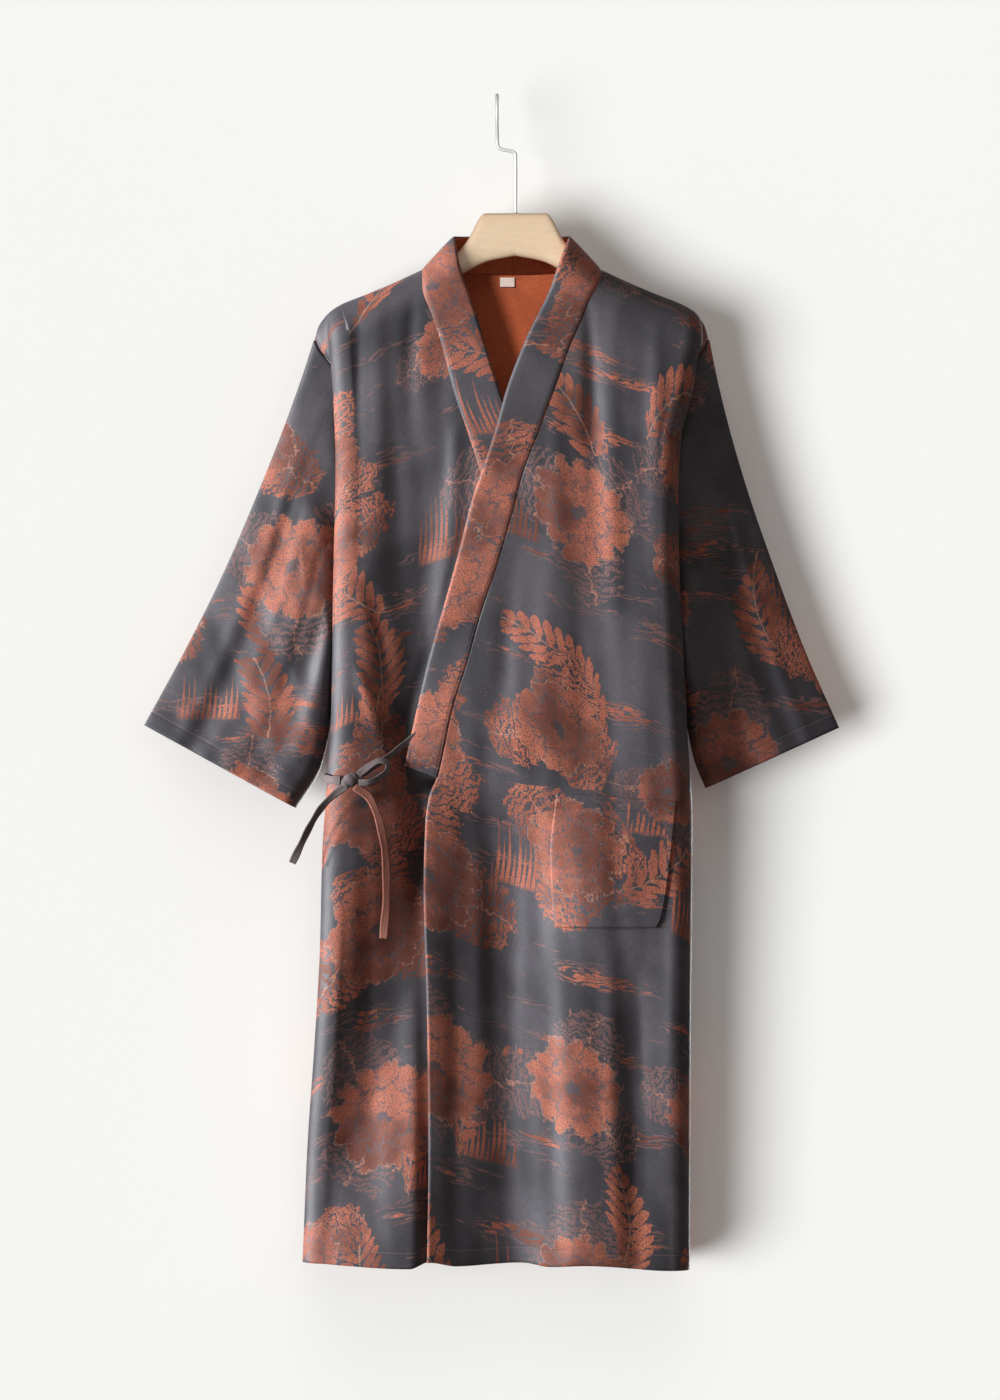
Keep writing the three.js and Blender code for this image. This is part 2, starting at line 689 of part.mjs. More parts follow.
// One half of the neckband: from the middle of the back neck, over the shoulder and down the front.
// Its seam edge follows the panels' own points, and its free edge stands up round the neck.
function bandGrid(sign, rows, frontLine, layer) {
  const ACROSS = 3;
  const BAND_TURN = 30; // drop over which the free edge comes forward from the shoulder line
  const NECK_GAP = 1; // from the band to the panels on the shoulder line
  const NECK_PAIRS = 4; // stations to either side of the shoulder line over which that gap fades
  const LAST_STEP = 8; // least height of the band's last step
  const backFree = ["free", "y", "z"].map((key) => through(BACK_BAND, "half", key));
  const free = through(rows, "z", "free");
  const rise = through(rows, "z", "rise");
  const pairs = [];
  for (let i = 0; i <= NECK_COLUMNS; i += 1) {
    const half = (NECK * i) / NECK_COLUMNS;
    const seam = neckColumn(half, sign)[0];
    const [freeHalf, y, z] = backFree.map((curve) => curve(half));
    pairs.push([seam, new THREE.Vector3(MIDDLE + sign * freeHalf, y, z)]);
  }
  const heights = frontLine.map((point) => point.z).filter((z, j) => j > 0 && z > BAND_END + LAST_STEP);
  const neckSide = pairs[pairs.length - 1][1];
  for (const z of [...heights, BAND_END]) {
    const seam = atHeight(frontLine, z);
    const x = free(z);
    const freeZ = z + rise(z);
    const down = rounding(((rows[0].z - z) * SHOULDER_ROUND) / BAND_TURN);
    const y = lerp(neckSide.y, frontY(layer, x, Math.min(freeZ, z)), down);
    pairs.push([seam, new THREE.Vector3(x, y, freeZ)]);
  }
  for (const point of pairs[0]) point.x += (sign * SEAM) / 2;
  return pairs.map(([seam, edge], i) => {
    const nearShoulder = 1 - Math.min(Math.abs(i - NECK_COLUMNS) / NECK_PAIRS, 1);
    const gap = lerp(SEAM, NECK_GAP, nearShoulder) / seam.distanceTo(edge);
    const line = [];
    for (let k = 0; k <= ACROSS; k += 1) {
      line.push(seam.clone().lerp(edge, lerp(gap, 1, k / ACROSS)));
    }
    return line;
  });
}

const leftBand = bandGrid(1, LEFT_BAND, overGrid[0], "over");
const rightBand = bandGrid(-1, RIGHT_BAND, underGrid[0], "under");
add("neckband_left", wall(leftBand, CLOTH, -1), SLATE);
add("neckband_right", wall(rightBand, CLOTH, 1), SLATE);

// ---- Sleeves

// Places across the sleeve, from its upper fold to its lower one. They follow the rows of the body
// panels, and halve the long ones, so that the sleeve's end lies evenly along the armhole.
function sleevePlaces(seamLine) {
  const LONG = 0.15;
  const LEAST = 0.02;
  const places = [0];
  for (const { z } of seamLine) {
    const place = (z - ARM_TOP) / (ARM_END - ARM_TOP);
    const last = places[places.length - 1];
    if (place < LEAST || place > 1 - LEAST / 2) continue;
    if (place - last > LONG) places.push((place + last) / 2);
    places.push(place);
  }
  return [...places, 1];
}

// A sleeve is a flat tube: a lens between its upper and lower folds, from the armhole to the cuff.
function sleeveGrid(side, rows, seamLine) {
  const ALONG = 12;
  const START = 1.2; // clear of the body's side
  const HUG = 0.35; // share of the sleeve over which it leaves the line of the body's side
  const FOLDS_IN = 0.5; // share of the sleeve over which its folds deepen
  const places = sleevePlaces(seamLine);
  const round = [
    ...places.map((across) => ({ across, face: -1 })),
    ...places.slice(1, -1).reverse().map((across) => ({ across, face: 1 })),
  ];
  const curves = Object.fromEntries(
    ["upperX", "upperZ", "lowerX", "lowerZ", "half", "y"].map((key) => [key, through(rows, "at", key)]),
  );
  const grid = [];
  for (const { across, face } of round) {
    const lens = 2 * Math.sqrt(across * (1 - across));
    const line = [];
    for (let j = 0; j <= ALONG; j += 1) {
      const at = j / ALONG;
      const z = lerp(curves.upperZ(at), curves.lowerZ(at), across);
      const x = lerp(curves.upperX(at), curves.lowerX(at), across);
      const chord = lerp(rows[0].upperX, rows[0].lowerX, across);
      const hug = atHeight(seamLine, lerp(ARM_TOP, ARM_END, across)).x - chord;
      const fade = (1 - smooth(at / HUG)) ** 2;
      let fold = 0;
      for (const { across: place, width, depth } of SLEEVE_FOLDS) {
        const from = (across - place) / width;
        fold += depth * Math.exp(-0.5 * from * from);
      }
      const thick = curves.half(at) - fold * smooth(at / FOLDS_IN);
      const y = curves.y(at) + face * lens * thick;
      line.push(new THREE.Vector3(x + hug * fade + side.sign * START, y, z));
    }
    grid.push(line);
  }
  return grid;
}

const leftSleeve = sleeveGrid(sides.left, LEFT_SLEEVE, overGrid[overGrid.length - 1]);
const rightSleeve = sleeveGrid(sides.right, RIGHT_SLEEVE, underGrid[underGrid.length - 1]);
add("sleeve_left", wall(leftSleeve, CLOTH, 1, { ring: true }), SLATE);
add("sleeve_right", wall(rightSleeve, CLOTH, -1, { ring: true }), SLATE);

// ---- Pocket and label: they follow the points of the panel that they lie on, moved out

// Point of a grid at fractional column u and row v.
function gridPoint(grid, u, v) {
  const i = clamp(Math.floor(u), 0, grid.length - 2);
  const j = clamp(Math.floor(v), 0, grid[0].length - 2);
  const top = grid[i][j].clone().lerp(grid[i + 1][j], u - i);
  const bottom = grid[i][j + 1].clone().lerp(grid[i + 1][j + 1], u - i);
  return top.lerp(bottom, v - j);
}

// Column of the grid at which its row v passes x.
function columnAt(grid, x, v) {
  let low = 0;
  let high = grid.length - 1 - CORNER_COLUMNS / 2;
  for (let k = 0; k < 40; k += 1) {
    const middle = (low + high) / 2;
    if (gridPoint(grid, middle, v).x < x) low = middle;
    else high = middle;
  }
  return (low + high) / 2;
}

// Row of the grid at which column u passes z.
function rowAt(grid, u, z) {
  let low = 0;
  let high = grid[0].length - 1;
  for (let k = 0; k < 40; k += 1) {
    const middle = (low + high) / 2;
    if (gridPoint(grid, u, middle).z > z) low = middle;
    else high = middle;
  }
  return (low + high) / 2;
}

function pocketGrid() {
  const ROWS = 5;
  const COLUMNS = 9;
  const left = through(POCKET, "z", "left");
  const right = through(POCKET, "z", "right");
  const mouth = POCKET[0];
  const foot = POCKET[POCKET.length - 1];
  const middle = columnAt(overGrid, (mouth.left + mouth.right) / 2, overGrid[0].length / 2);
  const first = rowAt(overGrid, middle, mouth.z);
  const last = rowAt(overGrid, middle, foot.z);
  const lines = [];
  for (let i = 0; i <= COLUMNS; i += 1) {
    const line = [];
    for (let j = 0; j <= ROWS; j += 1) {
      const v = lerp(first, last, j / ROWS);
      const z = lerp(mouth.z, foot.z, j / ROWS);
      const u = lerp(columnAt(overGrid, left(z), v), columnAt(overGrid, right(z), v), i / COLUMNS);
      const point = gridPoint(overGrid, u, v);
      point.y -= CLOTH + PATCH_LIFT + PUFF * Math.sin((Math.PI * i) / COLUMNS);
      line.push(point);
    }
    lines.push(line);
  }
  return lines;
}

add("pocket", wall(pocketGrid(), CLOTH, -1), SLATE);

// The label hangs on the inside of the back, just below the neck seam.
function labelGrid() {
  const behind = [LABEL.left, LABEL.right].flatMap((x) =>
    [LABEL.top, LABEL.bottom].map((z) => faces.back(x, z) * rounding(ridge(x) - z)),
  );
  const y = Math.min(...behind) - CLOTH - PATCH_LIFT - STRIP;
  return [LABEL.left, LABEL.right].map((x) =>
    [LABEL.top, LABEL.bottom].map((z) => new THREE.Vector3(x, y, z)),
  );
}

add("label", wall(labelGrid(), STRIP, -1), PAPER, 0.9);

// ---- Ties

function strip({ width, line, upright }) {
  const points = line.map(
    ({ x, z, front, layer = "under" }) => new THREE.Vector3(x, frontY(layer, x, z) - front, z),
  );
  const curve = new THREE.CatmullRomCurve3(points, false, "centripetal");
  const steps = points.length * 2;
  const left = [];
  const right = [];
  const facing = new THREE.Vector3(0, -1, 0);
  const up = new THREE.Vector3(0, 0, 1);
  for (let i = 0; i <= steps; i += 1) {
    const at = curve.getPoint(i / steps);
    const side = upright ? up : curve.getTangent(i / steps).cross(facing).normalize();
    left.push(at.clone().addScaledVector(side, -width / 2));
    right.push(at.clone().addScaledVector(side, width / 2));
  }
  return wall([left, right], STRIP, 1);
}

for (const [name, shape] of Object.entries(TIE_STRIPS)) {
  add(name, strip(shape), name === "tie_tail_front" ? RUST : DARK_SLATE);
}

const knotShape = new THREE.SphereGeometry(0.5, 14, 8);
knotShape.rotateX(Math.PI / 2);
knotShape.scale(TIE_KNOT.width, TIE_KNOT.depth, TIE_KNOT.height);
const knot = add("tie_knot", knotShape, DARK_SLATE);
knot.position.set(
  TIE_KNOT.x,
  frontY("under", TIE_KNOT.x, TIE_KNOT.z) - TIE_KNOT.lift - TIE_KNOT.depth / 2,
  TIE_KNOT.z,
);

// ---- Hanger and hook

// Distances from the hanger's middle: the crown's own, then along an arm, closer towards its tip.
function hangerPlaces() {
  const ARM_STEPS = 9;
  const CLOSER = 1.6;
  const places = HANGER_TOP.map(({ x }) => x);
  for (let k = 1; k <= ARM_STEPS; k += 1) {
    places.push(lerp(HANGER_HALF, CROWN_HALF, (1 - k / ARM_STEPS) ** CLOSER));
  }
  return [...places.slice(1).reverse().map((place) => -place), ...places];
}

// The hanger is lofted from tip to tip: at each place a rounded section between top and underside.
function hangerGrid() {
  const AROUND = 14;
  const BOXY = 0.6; // power that squares the crown's section
  const BOXY_HALF = 40; // half width of the squared part
  const BOXY_FADE = 45; // distance over which the section turns round
  const BLUNT = 0.95; // below 1, each arm ends in a small flat
  const top = through(HANGER_TOP, "x", "z");
  const under = through(HANGER_UNDER, "x", "z");
  const lines = Array.from({ length: AROUND }, () => []);
  for (const place of hangerPlaces()) {
    const x = HANGER_MIDDLE + place;
    const off = Math.abs(place);
    const shoulder = Math.min(ridge(x) - CLOTH - HANGER_GAP, top(CROWN_HALF));
    const high = off < CROWN_HALF ? top(off) : shoulder;
    const middle = (high + under(off)) / 2;
    const squared = lerp(BOXY, 1, smooth((off - BOXY_HALF) / BOXY_FADE));
    const tip = Math.max(off + HANGER_TIP - HANGER_HALF, 0) / HANGER_TIP;
    const round = Math.sqrt(1 - BLUNT * tip * tip);
    for (let i = 0; i < AROUND; i += 1) {
      const turn = (2 * Math.PI * i) / AROUND;
      const flat = (value) => Math.sign(value) * Math.abs(value) ** squared;
      const y = HANGER_THICK * round * flat(Math.cos(turn));
      const z = middle + (high - middle) * round * flat(Math.sin(turn));
      lines[i].push(new THREE.Vector3(x, y, z));
    }
  }
  return lines;
}

// A solid bar on a ring of lines, closed by a fan at each end.
function bar(lines) {
  const around = lines.length;
  const along = lines[0].length;
  const position = lines.flat().flatMap((point) => point.toArray());
  const index = [];
  for (let i = 0; i < around; i += 1) {
    const next = (i + 1) % around;
    for (let j = 0; j < along - 1; j += 1) {
      const [a, b] = [i * along + j, next * along + j];
      index.push(a, b, b + 1, a, b + 1, a + 1);
    }
    if (i > 0 && i < around - 1) {
      index.push(0, next * along, i * along);
      index.push(along - 1, i * along + along - 1, next * along + along - 1);
    }
  }
  const geometry = new THREE.BufferGeometry();
  geometry.setAttribute("position", new THREE.Float32BufferAttribute(position, 3));
  geometry.setIndex(index);
  return geometry;
}

add("hanger", bar(hangerGrid()), WOOD, 0.5);

// The hook's wire starts just above the hanger's top.
function hookGeometry() {
  const SIDES = 8;
  const STEPS = 48;
  const points = HOOK_LINE.map(({ x, y, z }) => new THREE.Vector3(x, y, z));
  const curve = new THREE.CatmullRomCurve3(points, false, "centripetal");
  const section = new THREE.Shape();
  for (let i = 0; i < SIDES; i += 1) {
    const turn = (2 * Math.PI * (i + 0.5)) / SIDES;
    const [x, y] = [(WIRE / 2) * Math.cos(turn), (WIRE / 2) * Math.sin(turn)];
    if (i === 0) section.moveTo(x, y);
    else section.lineTo(x, y);
  }
  section.closePath();
  return new THREE.ExtrudeGeometry(section, { steps: STEPS, extrudePath: curve });
}

add("hook", hookGeometry(), STEEL, 0.35, 1);

export default robe;
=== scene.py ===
"""A kimono robe with wide sleeves, a wrap front, a neckband and a side tie, on a wooden hanger.

Sizes in the tables are millimetres in the row's frame: +Z up, the front faces -Y, +X is the
wearer's left, and the origin is the seat of the hanger's hook.
"""

import json
import math

import bpy
import numpy as np
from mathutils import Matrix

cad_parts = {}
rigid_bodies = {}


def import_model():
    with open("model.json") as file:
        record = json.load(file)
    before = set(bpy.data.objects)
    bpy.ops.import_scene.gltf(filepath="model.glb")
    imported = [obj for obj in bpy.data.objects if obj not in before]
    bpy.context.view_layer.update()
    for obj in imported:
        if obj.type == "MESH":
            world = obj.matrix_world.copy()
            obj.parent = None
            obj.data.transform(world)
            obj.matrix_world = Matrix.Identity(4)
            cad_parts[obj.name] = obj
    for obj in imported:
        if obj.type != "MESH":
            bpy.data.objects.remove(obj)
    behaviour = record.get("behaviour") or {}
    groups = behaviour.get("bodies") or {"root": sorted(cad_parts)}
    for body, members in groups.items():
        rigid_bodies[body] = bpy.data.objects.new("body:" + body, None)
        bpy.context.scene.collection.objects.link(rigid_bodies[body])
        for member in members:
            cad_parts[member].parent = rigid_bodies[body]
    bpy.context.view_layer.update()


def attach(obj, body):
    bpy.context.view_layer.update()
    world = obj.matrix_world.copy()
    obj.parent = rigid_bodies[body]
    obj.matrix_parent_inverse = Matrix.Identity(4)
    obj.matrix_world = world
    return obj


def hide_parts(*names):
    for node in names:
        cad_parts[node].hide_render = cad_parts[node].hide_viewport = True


bl_info = {
    "name": "Kimono Robe on a Hanger",
    "version": (1, 0, 0),
    "blender": (4, 5, 0),
    "location": "View3D > Sidebar > Robe",
    "description": "Makes a hanging kimono robe with a garden pattern, its ties and its hanger",
    "category": "Add Mesh",
}

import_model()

MM = 0.001

# ---- Cut of the robe

CLOTH = 1.5  # wall thickness that the panels' places allow for
SEAM = 0.04  # gap between sewn pieces
MIDDLE = 17.0  # x of the garment's middle line
NECK = 103.0  # half width of the neck at the shoulder seam
NECK_RISE = 0.45  # slope with which the shoulder line runs on inside the neck
FOLD_START = 198.0  # half width of the shoulder line where the side fold starts
TIP_HALF = 227.5  # half width of the shoulders
TIP_HEIGHT = -280.0  # height of the shoulders' tips
SHOULDER_ROUND = 40.0  # drop over which the shoulder rounds over
BACK_NECK = -203.0  # height of the neck seam at the middle of the back
CORNER = 24.0  # width of the rounded fold at each side
QUARTER = 0.55  # share of a side fold's columns that turn round its corner
FOLD_DEPTH = 0.5  # share of the face's depth that the corner takes up
TURNED_IN = 0.7  # share of the other columns over which the fold turns in to the seam
ARM_TOP, ARM_END = -280.0, -540.0  # heights of the armhole's ends
ARM_HALF = 10.0  # half width of the open armhole
ARM_LAP = 2.0  # how far the body's edges reach into the armhole
SLEEVE_GAP = 1.2  # gap between the body's side and the sleeve's first row
HEM = -1348.0  # height of the hem
BAND_END = -786.0  # height at which the neckband ends
BAND_LAP = 1.2  # how far the neckband reaches past the seam edge
BAND_PUFF = 0.9  # how far the neckband bulges between its edges
LAYER = 5.0  # how much deeper the underlap lies than the overlap
LAYER_TOP, LAYER_DROP = -215.0, 90.0  # height where it starts to part, and the drop it takes
BARREL = 9.0  # how much further back a face lies at its sides than at its middle
LIFT = 0.7  # clearance between a piece and the cloth that it lies on
MOUTH_DROP = 9.0  # how much lower the pocket's mouth is at its outer end
POCKET_PUFF = 1.2  # how far the pocket bulges
LABEL_LIFT, LABEL_WALL = 1.0, 0.8  # how far the label stands off the back, and its thickness
HOOK_RADIUS = 2.0  # radius of the hook's wire

# Where pieces are cut from the patterned cloth: the height of the panels' shoulders, the places
# across of the back and of the underlap's edge, and the sleeves' place across and down.
CLOTH_TOP = -190.0
BACK_CLOTH = 610.0
RIGHT_CLOTH = 70.0
SLEEVE_CLOTH = (250.0, 70.0)

# Distances in metres of the stitch rows from the edges, and the least side and the least share
# of its rectangle that a flat piece is measured with.
HEM_STITCHES, BAND_STITCHES = 0.018, 0.003
LEAST_FLAT, LEAST_SHARE = 0.01, 0.31

# Columns and rows of the grids that the sidebar doesn't set.
CORNER_COLUMNS = {"over": 26, "under": 22, "back": 24}
BACK_COLUMNS, NECK_COLUMNS = 25, 32
SLEEVE_GRID, POCKET_GRID, LABEL_GRID = (168, 130), (60, 66), (18, 12)
RIBBON_GRID, KNOT_GRID = (80, 15), (64, 40)
ROUND_SHARE = 0.07  # share of a column's rows that lie over the shoulder round


def table(columns, rows):
    """Named columns of a short table, as arrays."""
    return dict(zip(columns.split(), np.array(rows, float).T))


SHOULDER = table("half z", [
    (NECK, -199.6), (135, -214.5), (167, -228), (FOLD_START, -240.5), (211, -249.5),
    (221, -262), (TIP_HALF, TIP_HEIGHT),
])
DEPTH = table("z front back", [
    (-200, 33, 30), (-300, 37, 34), (-450, 42, 40), (-650, 47, 44), (-800, 50, 46),
    (-1000, 55, 50), (-1350, 64, 56),
])
RIGHT_SIDE = table("z fold seam", [
    (-240, -196, -208), (-283, -194, -205), (-314, -191.5, -187), (-356, -188.6, -178),
    (-428, -186.3, -173.5), (-540, -188.5, -175), (-620, -190, -175.5), (-706, -191, -178),
    (-807, -197, -189), (-876, -201.5, -195), (-980, -204, -199), (-1095, -210.5, -206),
    (-1210, -218.5, -215), (-1350, -224.3, -221),
])
LEFT_SIDE = table("z fold seam", [
    (-240, 239, 243), (-283, 237, 239), (-305, 231, 225), (-335, 227, 215), (-366, 219, 206),
    (-398, 212, 199), (-470, 209, 196), (-540, 210, 196.5), (-607, 213, 198), (-746, 220, 207),
    (-835, 225, 218), (-1095, 223, 218), (-1350, 222, 218),
])
LEFT_BAND = table("z seam free rise", [
    (-199.6, 120, 84, 38), (-225, 110, 71, 30), (-248, 101, 61, 23), (-300, 79.5, 34, 19.5),
    (-354, 60, 12, 17), (-404, 41.5, -2.5, 15.5), (-438, 29, -14, 14), (-481, 17.3, -29, 13.5),
    (-533, 2, -42, 13), (-600, -19.6, -60.5, 12.5), (-660, -37, -78, 12), (-706, -52, -89, 12),
    (-786, -69.2, -106.3, 13.7),
])
RIGHT_BAND = table("z seam free rise", [
    (-199.6, -86, -50, 38), (-225, -84, -43, 29), (-254, -73.6, -31, 23),
    (-289, -62, -18.5, 19), (-343, -48, -1, 16), (-400, -29, 18, 14), (-500, 3, 49, 14),
    (-600, 34, 78, 14), (-700, 62, 104, 13), (-786, 84, 124, 13),
])
BACK_BAND = table("half free y z", [
    (0, 0, 36, -158), (30, 22, 34, -158), (60, 43, 27, -158.8), (85, 57, 15, -160),
    (NECK, 67, -1, -161.2),
])
LEFT_EDGE = table("z x", [
    (-808, -78), (-837, -82), (-913, -84), (-1037, -80.5), (-1221, -78.2), (-1350, -80),
])
RIGHT_EDGE = table("z x", [(-820, 90), (-1080, 92), (-1350, 92)])
HEM_LINE = table("x rise", [
    (-224, 5), (-100, -1), (-78, 6), (-45, 1), (30, 4), (60, 0), (100, 2), (205, -5),
    (222, -3),
])

FRONT_FOLDS = [table("z x left right over under", rows) for rows in (
    [(-560, -76, 12, 26, 0, 0), (-700, -106, 11, 30, 2, 4), (-780, -108, 10, 30, 3, 5),
     (-850, -88, 9, 16, 0, 5), (-1000, -83, 9, 14, 0, 1), (-1350, -81, 9, 14, 0, 1)],
    [(-330, -80, 34, 44, 0, 0), (-480, -86, 36, 42, 0, 11), (-640, -82, 34, 34, 0, 18),
     (-700, -80, 38, 34, 0, 20), (-780, -76, 40, 34, 0, 28), (-876, -80, 42, 32, 0, 31),
     (-940, -94, 42, 30, 0, 33), (-1000, -108, 42, 36, 0, 33), (-1060, -121, 42, 44, 0, 32),
     (-1152, -142, 42, 60, 0, 29), (-1267, -180, 30, 84, 0, 20), (-1350, -206, 16, 90, 0, 9)],
    [(-940, -98, 40, 9, 0, 0), (-1080, -97, 46, 9, 0, -5), (-1350, -98, 60, 10, 0, -9)],
    [(-740, 4, 38, 34, 0, 0), (-860, 10, 50, 40, 20, 21), (-1000, 14, 56, 46, 31, 33),
     (-1350, 16, 58, 48, 34, 36)],
    [(-840, 90, 34, 26, 0, 0), (-1000, 88, 34, 26, -4, -4), (-1350, 86, 34, 26, -5, -4)],
    [(-940, 160, 56, 40, 0, 0), (-1080, 158, 54, 50, 15, 15), (-1200, 172, 60, 60, 17, 17),
     (-1350, 212, 86, 70, 22, 22)],
    [(-900, 190, 20, 16, 0, 0), (-1350, 186, 22, 18, -3, -3)],
    [(-260, 114, 20, 24, 0, 0), (-380, 114, 22, 24, 4, 4), (-700, 114, 22, 24, 4, 0),
     (-800, 114, 20, 20, 0, 0)],
    [(-280, 192, 90, 30, 0, 0), (-400, 192, 100, 30, -11, 0), (-680, 194, 100, 30, -11, 0),
     (-880, 192, 80, 30, 0, 0)],
    [(-620, 40, 34, 30, 0, 0), (-760, 44, 34, 34, -5, -4), (-900, 48, 34, 34, 0, 0)],
)]
BACK_FOLDS = [table("z x left right depth", rows) for rows in (
    [(-330, -118, 26, 30, 0), (-800, -122, 28, 34, 9), (-1350, -128, 32, 38, 17)],
    [(-280, -32, 30, 26, 0), (-700, -36, 32, 30, -6), (-1350, -40, 36, 34, -12)],
    [(-260, 44, 26, 24, 0), (-620, 42, 28, 26, 8), (-1350, 46, 34, 32, 15)],
    [(-520, 136, 30, 24, 0), (-900, 138, 32, 26, -7), (-1350, 142, 34, 28, -12)],
)]

# Creases, from their upper to their lower end: width and depth at the middle, inwards positive.
FRONT_CREASES = table("x0 z0 x1 z1 bow width depth", [
    (-178, -262, -172, -760, 4, 12, -1.8), (-160, -250, -158, -560, -3, 6, 1.6),
    (-138, -238, -146, -690, 5, 10, -1.2), (-96, -232, -98, -420, -4, 7, 1.4),
    (-48, -380, -64, -600, 3, 8, -1.8), (-150, -560, -118, -760, 8, 8, 1.8),
    (-172, -640, -128, -772, 6, 6, -1.4), (-60, -620, -104, -752, -6, 8, 1.8),
    (104, -236, 108, -420, 3, 6, 1.4), (134, -240, 138, -660, -4, 9, -1.2),
    (184, -258, 188, -720, -4, 8, -1.2), (66, -360, 40, -760, 8, 9, -1.2),
    (22, -520, -16, -800, 5, 9, 1.2), (-190, -820, -206, -1340, 3, 9, -1.0),
    (-150, -900, -140, -1340, -4, 9, 1.4), (-52, -900, -46, -1345, 3, 8, 1.6),
    (-20, -860, -16, -1345, -4, 9, -1.4), (34, -900, 30, -1345, -3, 8, -0.9),
    (62, -1000, 60, -1345, 3, 9, 1.0), (134, -970, 138, -1345, -3, 10, -1.6),
    (160, -1000, 156, -1345, 3, 8, 1.6), (206, -860, 206, -1300, -3, 8, -1.6),
])
BACK_CREASES = table("x0 z0 x1 z1 bow width depth", [
    (-150, -250, -156, -720, 5, 8, 2.0), (-96, -236, -104, -560, -4, 7, -1.8),
    (-60, -240, -64, -900, 5, 9, 1.8), (-8, -260, -2, -700, -4, 8, -1.6),
    (18, -420, 12, -1340, 4, 9, 1.6), (76, -240, 84, -640, 4, 7, 1.8),
    (112, -260, 104, -980, -5, 9, -2.0), (160, -262, 172, -600, 4, 7, 1.8),
    (186, -520, 180, -1340, -4, 9, 1.8), (-178, -700, -190, -1340, 3, 9, -2.0),
    (-150, -900, -160, -1345, 3, 8, 1.8), (-90, -980, -84, -1345, -3, 8, -1.8),
    (64, -900, 72, -1345, 3, 8, -1.8), (112, -1010, 110, -1345, -3, 8, 1.6),
])
RIGHT_SLEEVE = table("at upperX upperZ lowerX lowerZ half y", [
    (0, -211, -281, -175, -540, 8.6, 0), (0.08, -223, -319, -181, -572, 11, 0),
    (0.22, -243, -376, -184.5, -618, 14, 0), (0.4, -273, -452, -188, -672, 15, 1),
    (0.6, -317, -554, -191.5, -722, 15, 3), (0.8, -360, -640, -202, -774, 14, 5),
    (1, -407, -726, -231, -822, 13, 7),
])
LEFT_SLEEVE = table("at upperX upperZ lowerX lowerZ half y", [
    (0, 245, -281, 196.5, -540, 8.6, 0), (0.08, 253, -322, 203, -572, 11, 0),
    (0.22, 270.5, -394, 207, -618, 14, 1), (0.4, 290, -459, 211, -670, 15, 3),
    (0.6, 318, -540, 217, -718, 15, 6), (0.8, 355.5, -640, 226.5, -765, 14, 9),
    (1, 395, -729, 240, -799, 13, 12),
])
# Folds that run along a sleeve: place across it at the armhole and at the cuff, width and depth.
SLEEVE_FOLDS = table("armhole cuff width depth", [
    (0.34, 0.34, 0.09, 2.4), (0.56, 0.56, 0.1, -1.6), (0.76, 0.76, 0.08, 2.2),
    (0.18, 0.22, 0.035, -1.6), (0.26, 0.3, 0.03, 1.2), (0.44, 0.4, 0.035, -1.4),
    (0.66, 0.62, 0.03, 1.4), (0.88, 0.84, 0.04, -1.6),
])
# Creases that fan out from the armpit: across, at, then where they end, width and depth. Their
# widths are measured on a sleeve of this span across and along.
SLEEVE_SPAN = (0.25, 0.45)
SLEEVE_CREASES = table("a0 t0 a1 t1 width depth", [
    (0.96, 0.04, 0.5, 0.34, 0.035, 2.2), (0.9, 0.02, 0.32, 0.2, 0.03, 1.8),
    (0.98, 0.1, 0.68, 0.62, 0.035, 2.0), (0.8, 0.0, 0.2, 0.1, 0.03, -1.4),
    (0.9, 0.3, 0.8, 0.9, 0.03, -1.6),
])
POCKET = table("z left right", [
    (-804, 68.4, 206.4), (-835, 64, 203.5), (-870, 61, 200), (-945, 64, 189), (-958, 68, 183),
])
LABEL = {"left": 3.5, "right": 20.5, "top": -206.5, "bottom": -217.5}
HANGER_MIDDLE = 21.5  # x of the hanger's middle
HANGER_HALF = 193.0  # half its length
HANGER_THICK = 11.7  # half its thickness
HANGER_TIP = 8.0  # length of the round end of an arm
CROWN_HALF = 87.0  # half width of the crown, past which the arms follow the shoulders
HANGER_TOP = table("x z", [
    (0, -134.5), (36, -134.8), (40, -138), (55, -165), (68, -181), (79, -196),
    (CROWN_HALF, -206),
])
HANGER_UNDER = table("x z", [
    (0, -183.5), (30, -189.5), (60, -204), (90, -221), (150, -247), (190, -264), (205, -270),
])
HOOK_LINE = [
    (21.4, 0, -134.6), (21.4, 0, -70), (21, 0, -65.5), (17.5, 0, -63.2), (4.5, 0, -60.2),
    (1.2, 0, -57.5), (0.6, 0, -53), (0, -13.5, -17), (0, -12, -6), (0, -6, 0.4), (0, 2, 2),
    (0, 10, -1), (0, 15, -8), (0, 16, -18),
]
KNOT = {"x": -168, "y": -55, "z": -789, "width": 23, "height": 16, "depth": 11, "lean": 0.5}
